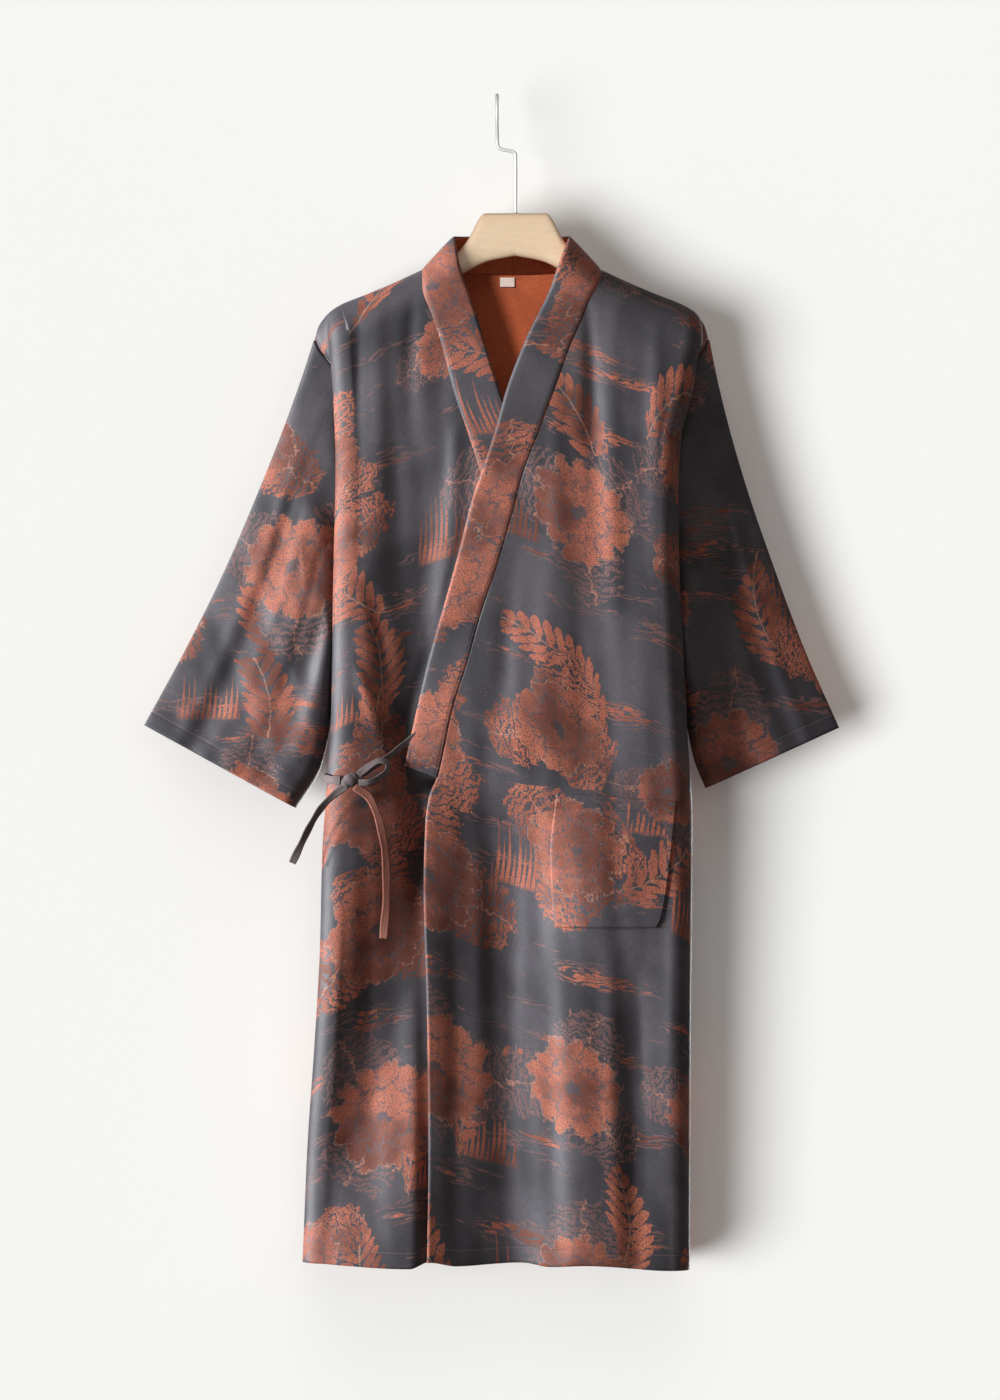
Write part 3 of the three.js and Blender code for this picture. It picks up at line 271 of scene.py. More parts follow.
# Middle lines of the tie strips.
TIE_LEFT = [
    (-90, -41, -736), (-101, -41.5, -743), (-116, -44.5, -755), (-134, -50, -768),
    (-159, -55.5, -784),
]
TIE_RIGHT = [
    (-179, -54.8, -789), (-187, -50.4, -788.5), (-193.3, -41.2, -788), (-197.2, -31, -787),
    (-196.8, -20, -786), (-190.5, -10.2, -785),
]
TIE_LOOP = [
    (-158, -57.5, -782), (-146, -57, -773), (-134, -55.5, -767), (-126, -54.5, -769.5),
    (-126.5, -55.5, -778), (-138, -58, -787), (-148, -60, -791), (-158, -58.5, -791.5),
]
TIE_TAIL_SIDE = [
    (-172, -55.3, -795), (-190, -52.1, -808), (-203, -50, -822), (-213, -47.1, -838),
    (-224, -43.3, -860), (-235, -38.6, -884),
]
TIE_TAIL_FRONT = [
    (-163, -55.4, -796), (-148, -52, -807), (-138, -51, -827), (-131, -51.8, -855),
    (-127.5, -53.4, -885), (-127, -56.5, -930), (-130, -59.2, -970),
]

# What tells the two fronts apart: side, sign, layer, neckband and lower edge.
LEFT_FRONT = (LEFT_SIDE, 1, "over", LEFT_BAND, LEFT_EDGE)
RIGHT_FRONT = (RIGHT_SIDE, -1, "under", RIGHT_BAND, RIGHT_EDGE)

# ---- Curves and faces


def context_sizes():
    """The sizes that the panel in the sidebar sets."""
    return bpy.context.scene.robe_sizes


def lerp(a, b, t):
    """Straight blend from a to b."""
    return a + (b - a) * t


def smooth(t):
    """S-shaped step from 0 to 1: 3t^2 - 2t^3, held flat outside."""
    s = np.clip(t, 0, 1)
    return s * s * (3 - 2 * s)


def through(rows, by, key, at):
    """Value at `at` of a curve through a table's rows that never swings past them.

    Between two rows it is a cubic whose end slopes are the harmonic means of the neighbouring
    slopes. The first and last values hold beyond the table.
    """
    x, value = rows[by], rows[key]
    if x[0] > x[-1]:
        x, value = x[::-1], value[::-1]
    secant = np.diff(value) / np.diff(x)
    before, after = secant[:-1], secant[1:]
    same = before * after > 0
    mean = 2 * before * after / np.where(same, before + after, 1)
    slope = np.concatenate([secant[:1], np.where(same, mean, 0), secant[-1:]])
    at = np.clip(at, x[0], x[-1])
    i = np.clip(np.searchsorted(x, at, side="right") - 1, 0, len(x) - 2)
    span = x[i + 1] - x[i]
    s = (at - x[i]) / span
    pull = s * (1 - s) ** 2 * slope[i] - s * s * (1 - s) * slope[i + 1]
    return lerp(value[i], value[i + 1], smooth(s)) + span * pull


def shoulder_line(half):
    """Height of the shoulder line at a half width."""
    return through(SHOULDER, "half", "z", half)


def ridge(x):
    """Height of the shoulder line at x. Inside the neck it runs on as a straight slope."""
    half = np.abs(x - MIDDLE)
    inside = SHOULDER["z"][0] + NECK_RISE * (NECK - half)
    return np.where(half < NECK, inside, shoulder_line(half))


def rounding(drop):
    """Quarter round of the shoulder: 0 on its line, 1 once the cloth hangs straight down."""
    left = 1 - np.clip(drop / SHOULDER_ROUND, 0, 1)
    return np.sqrt(1 - left * left)


def fold_depth(folds, key, x, z):
    """Sum of soft troughs: depth * exp(-(distance from the fold's line / width)^2 / 2)."""
    total = 0.0
    for fold in folds:
        away = x - through(fold, "z", "x", z)
        width = np.where(away < 0, through(fold, "z", "left", z), through(fold, "z", "right", z))
        depth = np.where(z > fold["z"][0], 0.0, through(fold, "z", key, z))
        total = total + depth * np.exp(-0.5 * (away / width) ** 2)
    return total


def crease_depth(creases, x, z):
    """Sum of narrow troughs along bowed lines.

    t runs from 0 to 1 down each crease. Its line is straight plus bow * 4t(1 - t), its depth
    swells as (4t(1 - t))^0.6, and across it falls off as exp(-(distance / width)^2 / 2).
    """
    total = 0.0
    for x0, z0, x1, z1, bow, width, depth in zip(*creases.values()):
        t = np.clip((z - z0) / (z1 - z0), 0, 1)
        swell = 4 * t * (1 - t)
        away = x - (lerp(x0, x1, t) + bow * swell)
        across = width * (0.8 + 0.5 * t)
        total = total + depth * swell**0.6 * np.exp(-0.5 * (away / across) ** 2)
    return total


def ripple(x, z, phase):
    """Gentle uneven waves of hanging cloth: three long sines whose phases drift with height."""
    return (
        0.3 * np.sin(x / 7.3 + 1.9 * np.sin(z / 171 + phase) + phase)
        + 0.34 * np.sin(x / 11.9 - 1.4 * np.sin(z / 233 + 2 * phase) + z / 260)
        + 0.2 * np.sin(x / 4.6 + z / 97 + 3 * phase)
    )


def cover_x(z):
    """x of the overlap's free edge at a height. The underlap is out of sight to its right."""
    line = {
        "z": np.concatenate([LEFT_BAND["z"] + LEFT_BAND["rise"], LEFT_EDGE["z"]]),
        "x": np.concatenate([LEFT_BAND["free"], LEFT_EDGE["x"]]),
    }
    return through(line, "z", "x", z)


def barrel(x, z):
    """How far a face falls back towards its sides: it is fullest at its middle line."""
    return BARREL * ((x - MIDDLE) / 200) ** 2 * smooth((-230 - z) / 220)


def cloth_face(layer, x, z):
    """Distance of a body face from the plane of the side seams, before the shoulder rounds it.

    The panel's depth, less its barrel shape, its large folds, its creases and its ripple. The
    underlap lies a layer deeper once it has parted from the overlap, and is calm beneath it.
    """
    deep = context_sizes().crease
    calm = smooth((-235 - z) / 120)
    if layer == "back":
        folds = fold_depth(BACK_FOLDS, "depth", x, z)
        fine = crease_depth(BACK_CREASES, x, z) * deep + calm * ripple(x, z, 0.7)
        return through(DEPTH, "z", "back", z) - barrel(x, z) - folds - fine
    folds = fold_depth(FRONT_FOLDS, layer, x, z)
    fine = crease_depth(FRONT_CREASES, x, z) * deep + calm * ripple(x, z, 0.0)
    under = 0.0
    if layer == "under":
        under = LAYER * smooth((LAYER_TOP - z) / LAYER_DROP)
        fine = fine * (1 - smooth((x - cover_x(z) + 10) / 14))
    return through(DEPTH, "z", "front", z) - under - barrel(x, z) - folds - fine


def front_y(layer, x, z):
    """y of the front's outer face at a point."""
    return -cloth_face(layer, x, z) * rounding(ridge(x) - z)


def armhole(z):
    """Half width of the armhole at a height: a lens between its two ends."""
    t = np.clip((z - ARM_TOP) / (ARM_END - ARM_TOP), 0, 1)
    return 2 * ARM_HALF * np.sqrt(t * (1 - t))


def from_seam(depth, rounded):
    """Depth of cloth that starts at half the seam gap and is full where rounded is 1."""
    return SEAM / 2 + (depth - SEAM / 2) * rounded


def seam_x(side, sign, z):
    """x of the side seam, rounded over from the shoulder's tip."""
    start = MIDDLE + sign * TIP_HALF
    return lerp(start, through(side, "z", "seam", z), rounding(TIP_HEIGHT - z))


def edge_x(band, edge, z):
    """x of a front's inner edge: the neckband's seam, then the front edge below it."""
    joined = {
        "z": np.concatenate([band["z"], edge["z"]]),
        "x": np.concatenate([band["seam"], edge["x"]]),
    }
    return through(joined, "z", "x", z)


def column_heights(top, x, rows):
    """Heights of columns of points: a quarter turn over the shoulder round, then even to the hem.

    top and x, the place where the column meets the hem, are arrays with a value per column.
    """
    v = np.linspace(0, 1, rows)[None, :]
    turn = np.pi / 2 * np.clip(v / ROUND_SHARE, 0, 1)
    start = (top - SHOULDER_ROUND)[:, None]
    hem = (HEM + through(HEM_LINE, "x", "rise", x))[:, None]
    over = top[:, None] - SHOULDER_ROUND * (1 - np.cos(turn))
    down = lerp(start, hem, np.clip((v - ROUND_SHARE) / (1 - ROUND_SHARE), 0, 1))
    return np.where(v < ROUND_SHARE, over, down)


def face_columns(side, sign, layer, facing, inner_edge, a, rows):
    """Columns of a body face: a is 0 at the inner edge and 1 where the side fold starts."""
    half = lerp(NECK, FOLD_START, a)
    top = shoulder_line(half)
    fold_end = through(side, "z", "fold", HEM) - sign * CORNER
    z = column_heights(top, lerp(inner_edge(HEM), fold_end, a), rows)
    top, a = top[:, None], a[:, None]
    outer = through(side, "z", "fold", z) - sign * CORNER
    flat_x = lerp(inner_edge(z), outer, a)
    x = lerp(MIDDLE + sign * half[:, None], flat_x, smooth((top - z) / SHOULDER_ROUND))
    y = from_seam(cloth_face(layer, x, z), rounding(top - z))
    return np.stack([x, facing * y, z], -1)


def corner_columns(side, sign, layer, facing, c, rows):
    """Columns of the rounded side fold: c is 0 where the face ends and 1 at the side seam.

    A quarter ellipse to the fold, then in towards the seam, whose two sides part at the armhole.
    """
    half = lerp(FOLD_START, TIP_HALF, c)
    top = shoulder_line(half)
    z = column_heights(top, through(side, "z", "fold", HEM) - sign * CORNER * (1 - c), rows)
    top, c = top[:, None], c[:, None]
    edge = through(side, "z", "fold", z)
    inner = edge - sign * CORNER
    depth = cloth_face(layer, inner, z)
    end = SEAM / 2 + np.maximum(armhole(z) - ARM_LAP, 0)
    turn = np.pi / 2 * np.minimum(c / QUARTER, 1)
    beyond = np.maximum(c - QUARTER, 0) / (1 - QUARTER)
    x = lerp(inner, edge, np.sin(turn))
    x = lerp(x, seam_x(side, sign, z), smooth(beyond / TURNED_IN))
    out = lerp(depth * (1 - FOLD_DEPTH * (1 - np.cos(turn))), end, beyond)
    rounded = rounding(top - z)
    x = lerp(MIDDLE + sign * half[:, None], x, rounded)
    return np.stack([x, facing * from_seam(out, rounded), z], -1)


def neck_columns(half, sign, rows):
    """Columns of the back below the neck: they start at the neck seam.

    Their first rows run from that seam, in even steps, to where the cloth hangs straight down.
    """
    x = MIDDLE + sign * half
    top = ridge(x)
    start = lerp(BACK_NECK, SHOULDER["z"][0], smooth(half / NECK))[:, None]
    heights = column_heights(top, x, rows)
    v = np.linspace(0, 1, rows)[None, :]
    share = ROUND_SHARE * 1.4
    joint = heights[:, [int(math.ceil(share * (rows - 1)))]]
    z = np.where(v < share, lerp(start, joint, v / share), heights)
    x = np.broadcast_to(x[:, None], z.shape)
    y = from_seam(cloth_face("back", x, z), rounding(top[:, None] - z))
    return np.stack([x, y, z], -1)


# ---- Meshes


def circle(steps):
    """Angles of a full turn in even steps, without its end."""
    return np.linspace(0, 2 * np.pi, steps + 1)[:-1]


def lengths(points, axis):
    """Running length along one direction of a grid, from 0."""
    steps = np.linalg.norm(np.diff(points, axis=axis), axis=-1)
    pad = [(0, 0), (0, 0)]
    pad[axis] = (1, 0)
    return np.pad(np.cumsum(steps, axis=axis), pad)


def grid_object(name, points, out, cloth=None, sewing=None, ring=False, closed=False):
    """A mesh object on a grid of points in mm, with quads whose normals face outwards.

    out is 1 where the cross product of the across and down directions faces outwards, else -1.
    ring closes the grid across. cloth and sewing are UV grids in metres. A ring's UV grids have
    one more column than its points, so that the pattern has its own value at the join.
    closed puts one flat face over each end of a ring.
    """
    columns, rows = points.shape[:2]
    wide = columns + 1 if ring else columns
    number = (np.arange(wide) % columns)[:, None] * rows + np.arange(rows)[None, :]
    corner = [(0, 0), (1, 0), (1, 1), (0, 1)] if out > 0 else [(0, 0), (0, 1), (1, 1), (1, 0)]

    def quads(values):
        cut = [values[i : wide - 1 + i, j : rows - 1 + j] for i, j in corner]
        return np.stack(cut, 2).reshape(-1, *values.shape[2:])

    faces = (wide - 1) * (rows - 1)
    around = np.arange(columns) * rows
    caps = []
    if closed:
        turned = around[::-1]
        caps = [turned, around + rows - 1] if out > 0 else [around, turned + rows - 1]
    mesh = bpy.data.meshes.new(name)
    mesh.vertices.add(columns * rows)
    mesh.vertices.foreach_set("co", (points * MM).astype(np.float32).ravel())
    mesh.loops.add(faces * 4 + columns * len(caps))
    mesh.loops.foreach_set("vertex_index", np.concatenate([quads(number), *caps]).astype(np.int32))
    mesh.polygons.add(faces + len(caps))
    starts = np.append(np.arange(faces) * 4, faces * 4 + columns * np.arange(len(caps)))
    mesh.polygons.foreach_set("loop_start", starts.astype(np.int32))
    mesh.polygons.foreach_set("use_smooth", np.ones(faces + len(caps), bool))
    for layer, values in (("cloth", cloth), ("sewing", sewing)):
        if values is not None:
            uv = mesh.uv_layers.new(name=layer)
            flat = np.zeros((columns * len(caps), 2))
            uv.data.foreach_set("uv", np.append(quads(values), flat, 0).astype(np.float32).ravel())
    mesh.update(calc_edges=True)
    mesh.validate()
    thing = bpy.data.objects.new(name, mesh)
    bpy.context.scene.collection.objects.link(thing)
    return thing


def wall(thing, thickness, outer, inner=None):
    """Gives a sheet its thickness inwards. The second material lines its inner face."""
    for name in (outer, inner or outer):
        thing.data.materials.append(cloth_material(name))
    solid = thing.modifiers.new("thickness", "SOLIDIFY")
    solid.thickness = thickness * MM
    solid.offset = -1
    solid.use_even_offset = True
    solid.material_offset = 1
    solid.material_offset_rim = 0


def stand_for(thing, node):
    """Ties a piece to the body and hides the solid that it replaces."""
    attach(thing, "root")
    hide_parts(node)


def declare(thing, points, node, rests_on):
    """Ties a cloth piece to its solid and works out, but does not keep, the size and area of the
    flat piece it was cut from.
    """
    stand_for(thing, node)
    width = lengths(points, 0)[-1].max() * MM
    length = lengths(points, 1)[:, -1].max() * MM
    across = np.diff(points, axis=0)[:, :-1]
    down = np.diff(points, axis=1)[:-1]
    area = np.linalg.norm(np.cross(across, down), axis=-1).sum() * MM**2
    flat = (max(width, LEAST_FLAT), max(length, LEAST_FLAT))
    area = min(max(area, LEAST_SHARE * flat[0] * flat[1]), flat[0] * flat[1])


def panel_maps(points, start=0.0, lean=1.0):
    """Cloth and sewing UV grids of a panel.

    cloth is the running length across from the panel's first column, set at start plus lean
    times that column's x, and the running length down each column. sewing holds the length
    across and the height over the hem, for the stitch rows.
    """
    across = lengths(points, 0)
    down = lengths(points, 1)
    first = points[:1, :, 0] * lean
    cloth = np.stack([start + first + across, CLOTH_TOP - down], -1) * MM
    rise = (down[:, -1:] - down) * MM
    return cloth, np.stack([across * MM, rise], -1)


# ---- Shader wiring


class Signal:
    """A node's output in a formula: each sum, product and so on places a Math node."""

    def __init__(self, wiring, socket):
        self.wiring, self.socket = wiring, socket

    def __add__(self, other):
        return self.wiring.math("ADD", self, other)

    def __sub__(self, other):
        return self.wiring.math("SUBTRACT", self, other)

    def __rsub__(self, other):
        return self.wiring.math("SUBTRACT", other, self)

    def __mul__(self, other):
        return self.wiring.math("MULTIPLY", self, other)

    def __truediv__(self, other):
        return self.wiring.math("DIVIDE", self, other)

    def __pow__(self, other):
        return self.wiring.math("POWER", self, other)

    def __abs__(self):
        return self.wiring.math("ABSOLUTE", self)

    __radd__ = __add__


class Wiring:
    """Places shader nodes in a tree and joins them. All but node and put return an output."""

    def __init__(self, tree):
        self.tree = tree

    def node(self, kind, inputs=(), **settings):
        """Places a node. inputs pairs its sockets, by name or place, with values or outputs."""
        made = self.tree.nodes.new(kind)
        for key, value in settings.items():
            setattr(made, key, value)
        for key, value in dict(inputs).items():
            self.put(made.inputs[key], value)
        return made

    def put(self, socket, value):
        """Joins an output to a socket, or sets the socket to a value."""
        value = getattr(value, "socket", value)
        if isinstance(value, bpy.types.NodeSocket):
            self.tree.links.new(value, socket)
        else:
            socket.default_value = value

    def out(self, made, which=0):
        return Signal(self, made.outputs[which])

    def math(self, operation, *values):
        return self.out(self.node("ShaderNodeMath", enumerate(values), operation=operation))

    def most(self, *values):
        made = values[0]
        for value in values[1:]:
            made = self.math("MAXIMUM", made, value)
        return made

    def vector(self, operation, *values):
        return self.out(self.node("ShaderNodeVectorMath", enumerate(values), operation=operation))

    def scaled(self, vector, factor):
        inputs = {0: vector, "Scale": factor}
        return self.out(self.node("ShaderNodeVectorMath", inputs, operation="SCALE"))

    def split(self, vector):
        made = self.node("ShaderNodeSeparateXYZ", {0: vector})
        return [self.out(made, i) for i in range(3)]

    def noise(self, vector, scale, detail=2.0, roughness=0.5, colour=False, flat=True):
        inputs = {"Vector": vector, "Scale": scale, "Detail": detail, "Roughness": roughness}
        made = self.node("ShaderNodeTexNoise", inputs, noise_dimensions="2D" if flat else "3D")
        return self.out(made, 1 if colour else 0)

    def cells(self, vector, scale, randomness):
        """The middle of the nearest cell of a lattice, and that cell's three chance numbers."""
        inputs = {"Vector": vector, "Scale": scale, "Randomness": randomness}
        made = self.node("ShaderNodeTexVoronoi", inputs, voronoi_dimensions="2D", feature="F1")
        return self.out(made, "Position"), self.split(self.out(made, "Color"))

    def step(self, value, low, high):
        """0 below low, 1 above high, smooth between them."""
        inputs = enumerate((value, low, high, 0.0, 1.0))
        return self.out(self.node("ShaderNodeMapRange", inputs, interpolation_type="SMOOTHSTEP"))

    def near(self, value, width, soft):
        """1 where |value| is under width, 0 past width + soft."""
        return 1.0 - self.step(abs(value), width, width + soft)

    def mix(self, factor, a, b):
        return self.out(self.node("ShaderNodeMix", {0: factor, 6: a, 7: b}, data_type="RGBA"), 2)


def garden_pattern(w, given):
    """Masks of a woven garden pattern: blossoms with leaves, sprays, reeds and bands of mist.

    Blossoms, sprays and reeds stand in the cells of three uneven lattices. A blossom's rim is
    0.74 + 0.26 |cos(6.5 turn)|^0.55 of its radius, a spray is a bent stem with slanted leaflets,
    reeds are pointed blades of random height, and mist is stretched noise cut into fine lines.
    """
    place = w.scaled(given["Vector"], given["Scale"])

    def wander(scale, detail):
        made = w.noise(place, scale, detail, 0.6, colour=True)
        return w.vector("SUBTRACT", made, (0.5, 0.5, 0.5))

    def stretched(down):
        return w.vector("MULTIPLY", place, (1.0, down, 1.0))

    jitter, coarse = wander(120.0, 3.0), wander(34.0, 2.0)
    torn = w.vector("ADD", w.scaled(jitter, 0.016), w.scaled(coarse, 0.022))
    ragged = w.vector("ADD", place, torn)

    # blossoms and their leaves
    centre, (big, turned, kind) = w.cells(place, 5.0, 0.72)
    x, y, _ = w.split(w.vector("SUBTRACT", ragged, centre))
    turn = w.math("ARCTAN2", y, x) + turned * (2 * math.pi)
    radius = w.math("SQRT", x * x + y * y) / (0.036 + big * 0.03)
    petal = abs(w.math("COSINE", turn * 6.5))
    between = abs(w.math("SINE", turn * 6.5))
    rim = 0.74 + petal**0.55 * 0.26
    ring = 0.42 + between**0.55 * 0.15
    blossom = w.step(rim - radius, 0.0, 0.05)
    inner = w.step(ring - radius, 0.0, 0.04)
    outer_vein = w.near(petal * radius, 0.05, 0.07) * (1.0 - inner)
    inner_vein = w.near(between * radius, 0.02, 0.05) * inner
    veins = w.most(outer_vein, inner_vein, w.near(radius - ring, 0.012, 0.03))
    heart = w.near(radius, 0.1, 0.06)
    shaded = w.near(radius - ring - 0.08, 0.07, 0.06) * (1.0 - inner)
    petal_shade = w.step(w.math("SINE", turn * 78.0), 0.1, 0.5) * shaded
    leaf_turn = (turn + kind * 3.0) * 1.5
    lobe = abs(w.math("COSINE", leaf_turn))
    tooth = w.math("PINGPONG", turn * 4.0, 0.5)
    leaf_rim = 0.86 + lobe**1.8 * 0.86 + tooth * 0.2
    leaf = w.step(leaf_rim - radius, 0.0, 0.05) * (1.0 - blossom)
    rib = w.near(w.math("SINE", leaf_turn) * radius, 0.012, 0.03)
    stripe = w.math("SINE", radius * 46.0 + lobe * 13.0)
    full_leaf = w.step(kind, 0.45, 0.46)
    leaf_rust = leaf * full_leaf * w.step(stripe, -0.8, -0.2)
    leaf_mauve = leaf * w.step(stripe, -0.35, 0.25) * (1.0 - full_leaf)

    # sprays
    moved = w.vector("ADD", place, (0.371, 0.113, 0.0))
    centre, (lean, side, long) = w.cells(moved, 4.6, 0.8)
    torn = w.vector("ADD", moved, w.scaled(jitter, 0.006))
    x, y, _ = w.split(w.vector("SUBTRACT", torn, centre))
    angle = (lean - 0.5) * 2.2
    sine, cosine = w.math("SINE", angle), w.math("COSINE", angle)
    along = x * sine + y * cosine
    bend = along * along * 4.5 * w.math("SIGN", side - 0.5)
    off = x * cosine - y * sine + bend
    share = along / (0.062 + long * 0.03)
    wide = w.most(1.0 - share * share, 0.0) ** 0.7 * 0.03
    away = abs(off)
    leaflet = w.math("PINGPONG", (along - away * 0.9) / 0.0075, 1.0)
    out = w.math("MINIMUM", away / w.most(wide, 0.001), 1.0)
    swell = w.most(w.math("SINE", out * math.pi), 0.0) ** 0.5
    spray = w.step(swell - leaflet, 0.02, 0.16) * w.step(wide - away, 0.0, 0.0008)
    stem = w.near(off, 0.0007, 0.0006) * w.step(1.1 - abs(share), 0.0, 0.02)

    # reeds
    moved = w.vector("ADD", place, (0.117, 0.291, 0.0))
    centre, (tall, dense, _) = w.cells(moved, 3.9, 0.85)
    x, y, _ = w.split(w.vector("SUBTRACT", moved, centre))
    blade = (x + y * y * 2.0) / 0.0062
    number = w.out(w.node("ShaderNodeCombineXYZ", {0: w.math("FLOOR", blade), 1: dense}))
    drawn = w.node("ShaderNodeTexWhiteNoise", {"Vector": number}, noise_dimensions="2D")
    height = (0.02 + w.out(drawn, "Value") * 0.085) * (0.6 + tall * 0.6)
    up = y + 0.045
    half = abs(w.math("FRACT", blade) - 0.5)
    blades = w.step(1.0 - up / height - half * 2.1, 0.0, 0.12) * w.step(up, 0.0, 0.006)
    reeds = blades * w.near(x, 0.034, 0.004)

    # mist
    cloud = w.noise(stretched(5.0), 5.2, 4.0, 0.62)
    flutter = w.noise(stretched(3.0), 26.0, 2.0)
    lines = w.math("SINE", w.split(place)[1] * (2 * math.pi / 0.0052) + flutter * 26.0)
    bank = w.step(cloud, 0.63, 0.65) * w.step(lines, -0.75, -0.2)
    mist = w.step(cloud, 0.555, 0.585) * w.step(lines, 0.0, 0.55)

    free = 1.0 - w.most(blossom, leaf)
    grain = w.step(w.noise(place, 620.0, 2.0), 0.36, 0.42)
    petals = blossom * (1.0 - w.most(veins, heart) * 0.85)
    rust = w.most(petals, leaf_rust, w.most(spray, reeds, bank) * free)
    shade = blossom * petal_shade
    mauve = w.most(mist * free, leaf_mauve, shade)
    outline = w.near(radius - rim, 0.004, 0.022) * w.step(radius, 0.5, 0.52)
    pale = w.most(outline, leaf * rib, stem * free)
    return {"Rust": rust * grain, "Mauve": mauve * grain, "Shade": shade, "Pale": pale * grain}


def cloth_weave(w, given):
    """Height and tone of a fine weave: crossed threads with slubs, as products of two waves."""
    x, y, _ = w.split(given["Vector"])
    warp, weft = [w.math("SINE", v * (2 * math.pi) / given["Pitch"]) for v in (x, y)]
    stretched = w.vector("MULTIPLY", given["Vector"], (1.0, 0.16, 1.0))
    crossed = w.vector("MULTIPLY", given["Vector"], (0.16, 1.0, 1.0))
    slub = w.noise(stretched, 900.0, 2.0) + w.noise(crossed, 900.0, 2.0)
    return {"Height": warp * weft * 0.35 + slub, "Tone": slub - 1.0}


def stitch_rows(w, given):
    """A row of stitches at a distance from an edge: dashes along it, and a dent under them."""
    run, gap, _ = w.split(given["Vector"])
    off = gap - given["Distance"]
    dash = w.step(w.math("PINGPONG", run / 0.0032, 0.5), 0.14, 0.2)
    return {"Thread": w.near(off, 0.0004, 0.0004) * dash, "Dent": w.near(off, 0.0004, 0.0022)}


def wood_grain(w, given):
    """Long grain along X: stretched rings and fine pores."""

    def thinned(by):
        return w.vector("MULTIPLY", given["Vector"], (1.0, by, by))

    rings = w.math("FRACT", w.noise(thinned(9.0), 7.0, 3.0, 0.55, flat=False) * 9.0)
    pores = w.noise(thinned(22.0), 60.0, 3.0, 0.6, flat=False)
    return {"Rings": w.step(rings, 0.1, 0.9), "Pores": w.step(pores, 0.52, 0.7)}


# Shared effects: what builds each group, its numbers besides a vector, and its masks.
GROUPS = {
    "garden_pattern": (garden_pattern, {"Scale": 1.0}, "Rust Mauve Shade Pale"),
    "cloth_weave": (cloth_weave, {"Pitch": 0.001}, "Height Tone"),
    "stitch_rows": (stitch_rows, {"Distance": 0.018}, "Thread Dent"),
    "wood_grain": (wood_grain, {}, "Rings Pores"),
}


def node_group(name):
    """The shader node group of that name, made when it is first asked for."""
    if name in bpy.data.node_groups:
        return bpy.data.node_groups[name]
    build, numbers, masks = GROUPS[name]
    tree = bpy.data.node_groups.new(name, "ShaderNodeTree")
    tree.interface.new_socket("Vector", in_out="INPUT", socket_type="NodeSocketVector")
    for label, default in numbers.items():
        socket = tree.interface.new_socket(label, in_out="INPUT", socket_type="NodeSocketFloat")
        socket.default_value = default
    for label in masks.split():
        tree.interface.new_socket(label, in_out="OUTPUT", socket_type="NodeSocketFloat")
    w = Wiring(tree)
    entry = w.node("NodeGroupInput")
    given = {label: w.out(entry, label) for label in ("Vector", *numbers)}
    w.node("NodeGroupOutput", build(w, given))
    return tree


def groups():
    """All the shared effects by name."""
    return {name: node_group(name) for name in GROUPS}


def place_group(w, name, **values):
    """Puts a group in a material and returns its outputs by name."""
    made = w.node("ShaderNodeGroup", values, node_tree=groups()[name])
    return {socket.name: w.out(made, socket.name) for socket in made.outputs}


def new_material(name, **shader):
    """A material with a Principled BSDF, whose even values are set on its own sockets."""
    material = bpy.data.materials.new(name)
    material.use_nodes = True
    surface = material.node_tree.nodes["Principled BSDF"]
    for key, value in shader.items():
        surface.inputs[key.replace("_", " ")].default_value = value
    return material, Wiring(material.node_tree), surface


def uv(w, layer):
    return w.out(w.node("ShaderNodeUVMap", uv_map=layer))


def bumped(w, surface, height, strength, distance):
    """Feeds a height through a Bump node to the surface's normal."""
    inputs = {"Strength": strength, "Distance": distance, "Height": height}
    w.put(surface.inputs["Normal"], w.out(w.node("ShaderNodeBump", inputs)))


def toned(w, shown, tone, amount):
    """A colour that is lighter and darker with the weave's tone."""
    inputs = {"Value": 1.0 + tone * amount, "Color": shown}
    return w.out(w.node("ShaderNodeHueSaturation", inputs))


def paint(name):
    """A colour of the settings as the four numbers that a node socket takes."""
    return (*getattr(bpy.context.scene.robe_colours, name), 1.0)


def patterned_cloth(name, row, shift):
    """The robe's right side: slate cloth with the garden pattern, weave and a row of stitches.

    row is the distance of the stitches from the edge, and shift moves the pattern.
    """
    look = bpy.context.scene.robe_colours
    material, w, surface = new_material(
        name, Sheen_Weight=0.1, Sheen_Roughness=0.4, Specular_IOR_Level=0.32
    )
    place = w.vector("ADD", uv(w, "cloth"), (*shift, 0.0))
    made = place_group(w, "garden_pattern", Vector=place, Scale=look.pattern_scale)
    weave = place_group(w, "cloth_weave", Vector=place, Pitch=look.thread_pitch)
    stitches = place_group(w, "stitch_rows", Vector=uv(w, "sewing"), Distance=row)
    shown = w.mix(w.step(w.noise(place, 9.0, 3.0), 0.35, 0.65), paint("slate_deep"), paint("slate"))
    rust = w.mix(w.step(w.noise(place, 13.0, 4.0), 0.36, 0.62), paint("rust_deep"), paint("rust"))
    shown = w.mix(made["Mauve"] * 0.85, shown, paint("mauve"))
    shown = w.mix(made["Rust"] * 0.94, shown, rust)
    shown = w.mix(made["Shade"] * 0.6, shown, paint("mauve"))
    shown = w.mix(made["Pale"] * 0.6, shown, paint("pale_line"))
    shown = toned(w, shown, weave["Tone"], 0.5)
    shown = w.mix(stitches["Thread"] * 0.7, shown, paint("thread"))
    height = weave["Height"] * 0.3 + w.most(made["Rust"], made["Mauve"]) * 0.25
    w.put(surface.inputs["Base Color"], shown)
    w.put(surface.inputs["Roughness"], 0.5 + made["Rust"] * 0.12)
    bumped(w, surface, height - stitches["Dent"] * 0.9, 0.5, 0.0006)
    return material


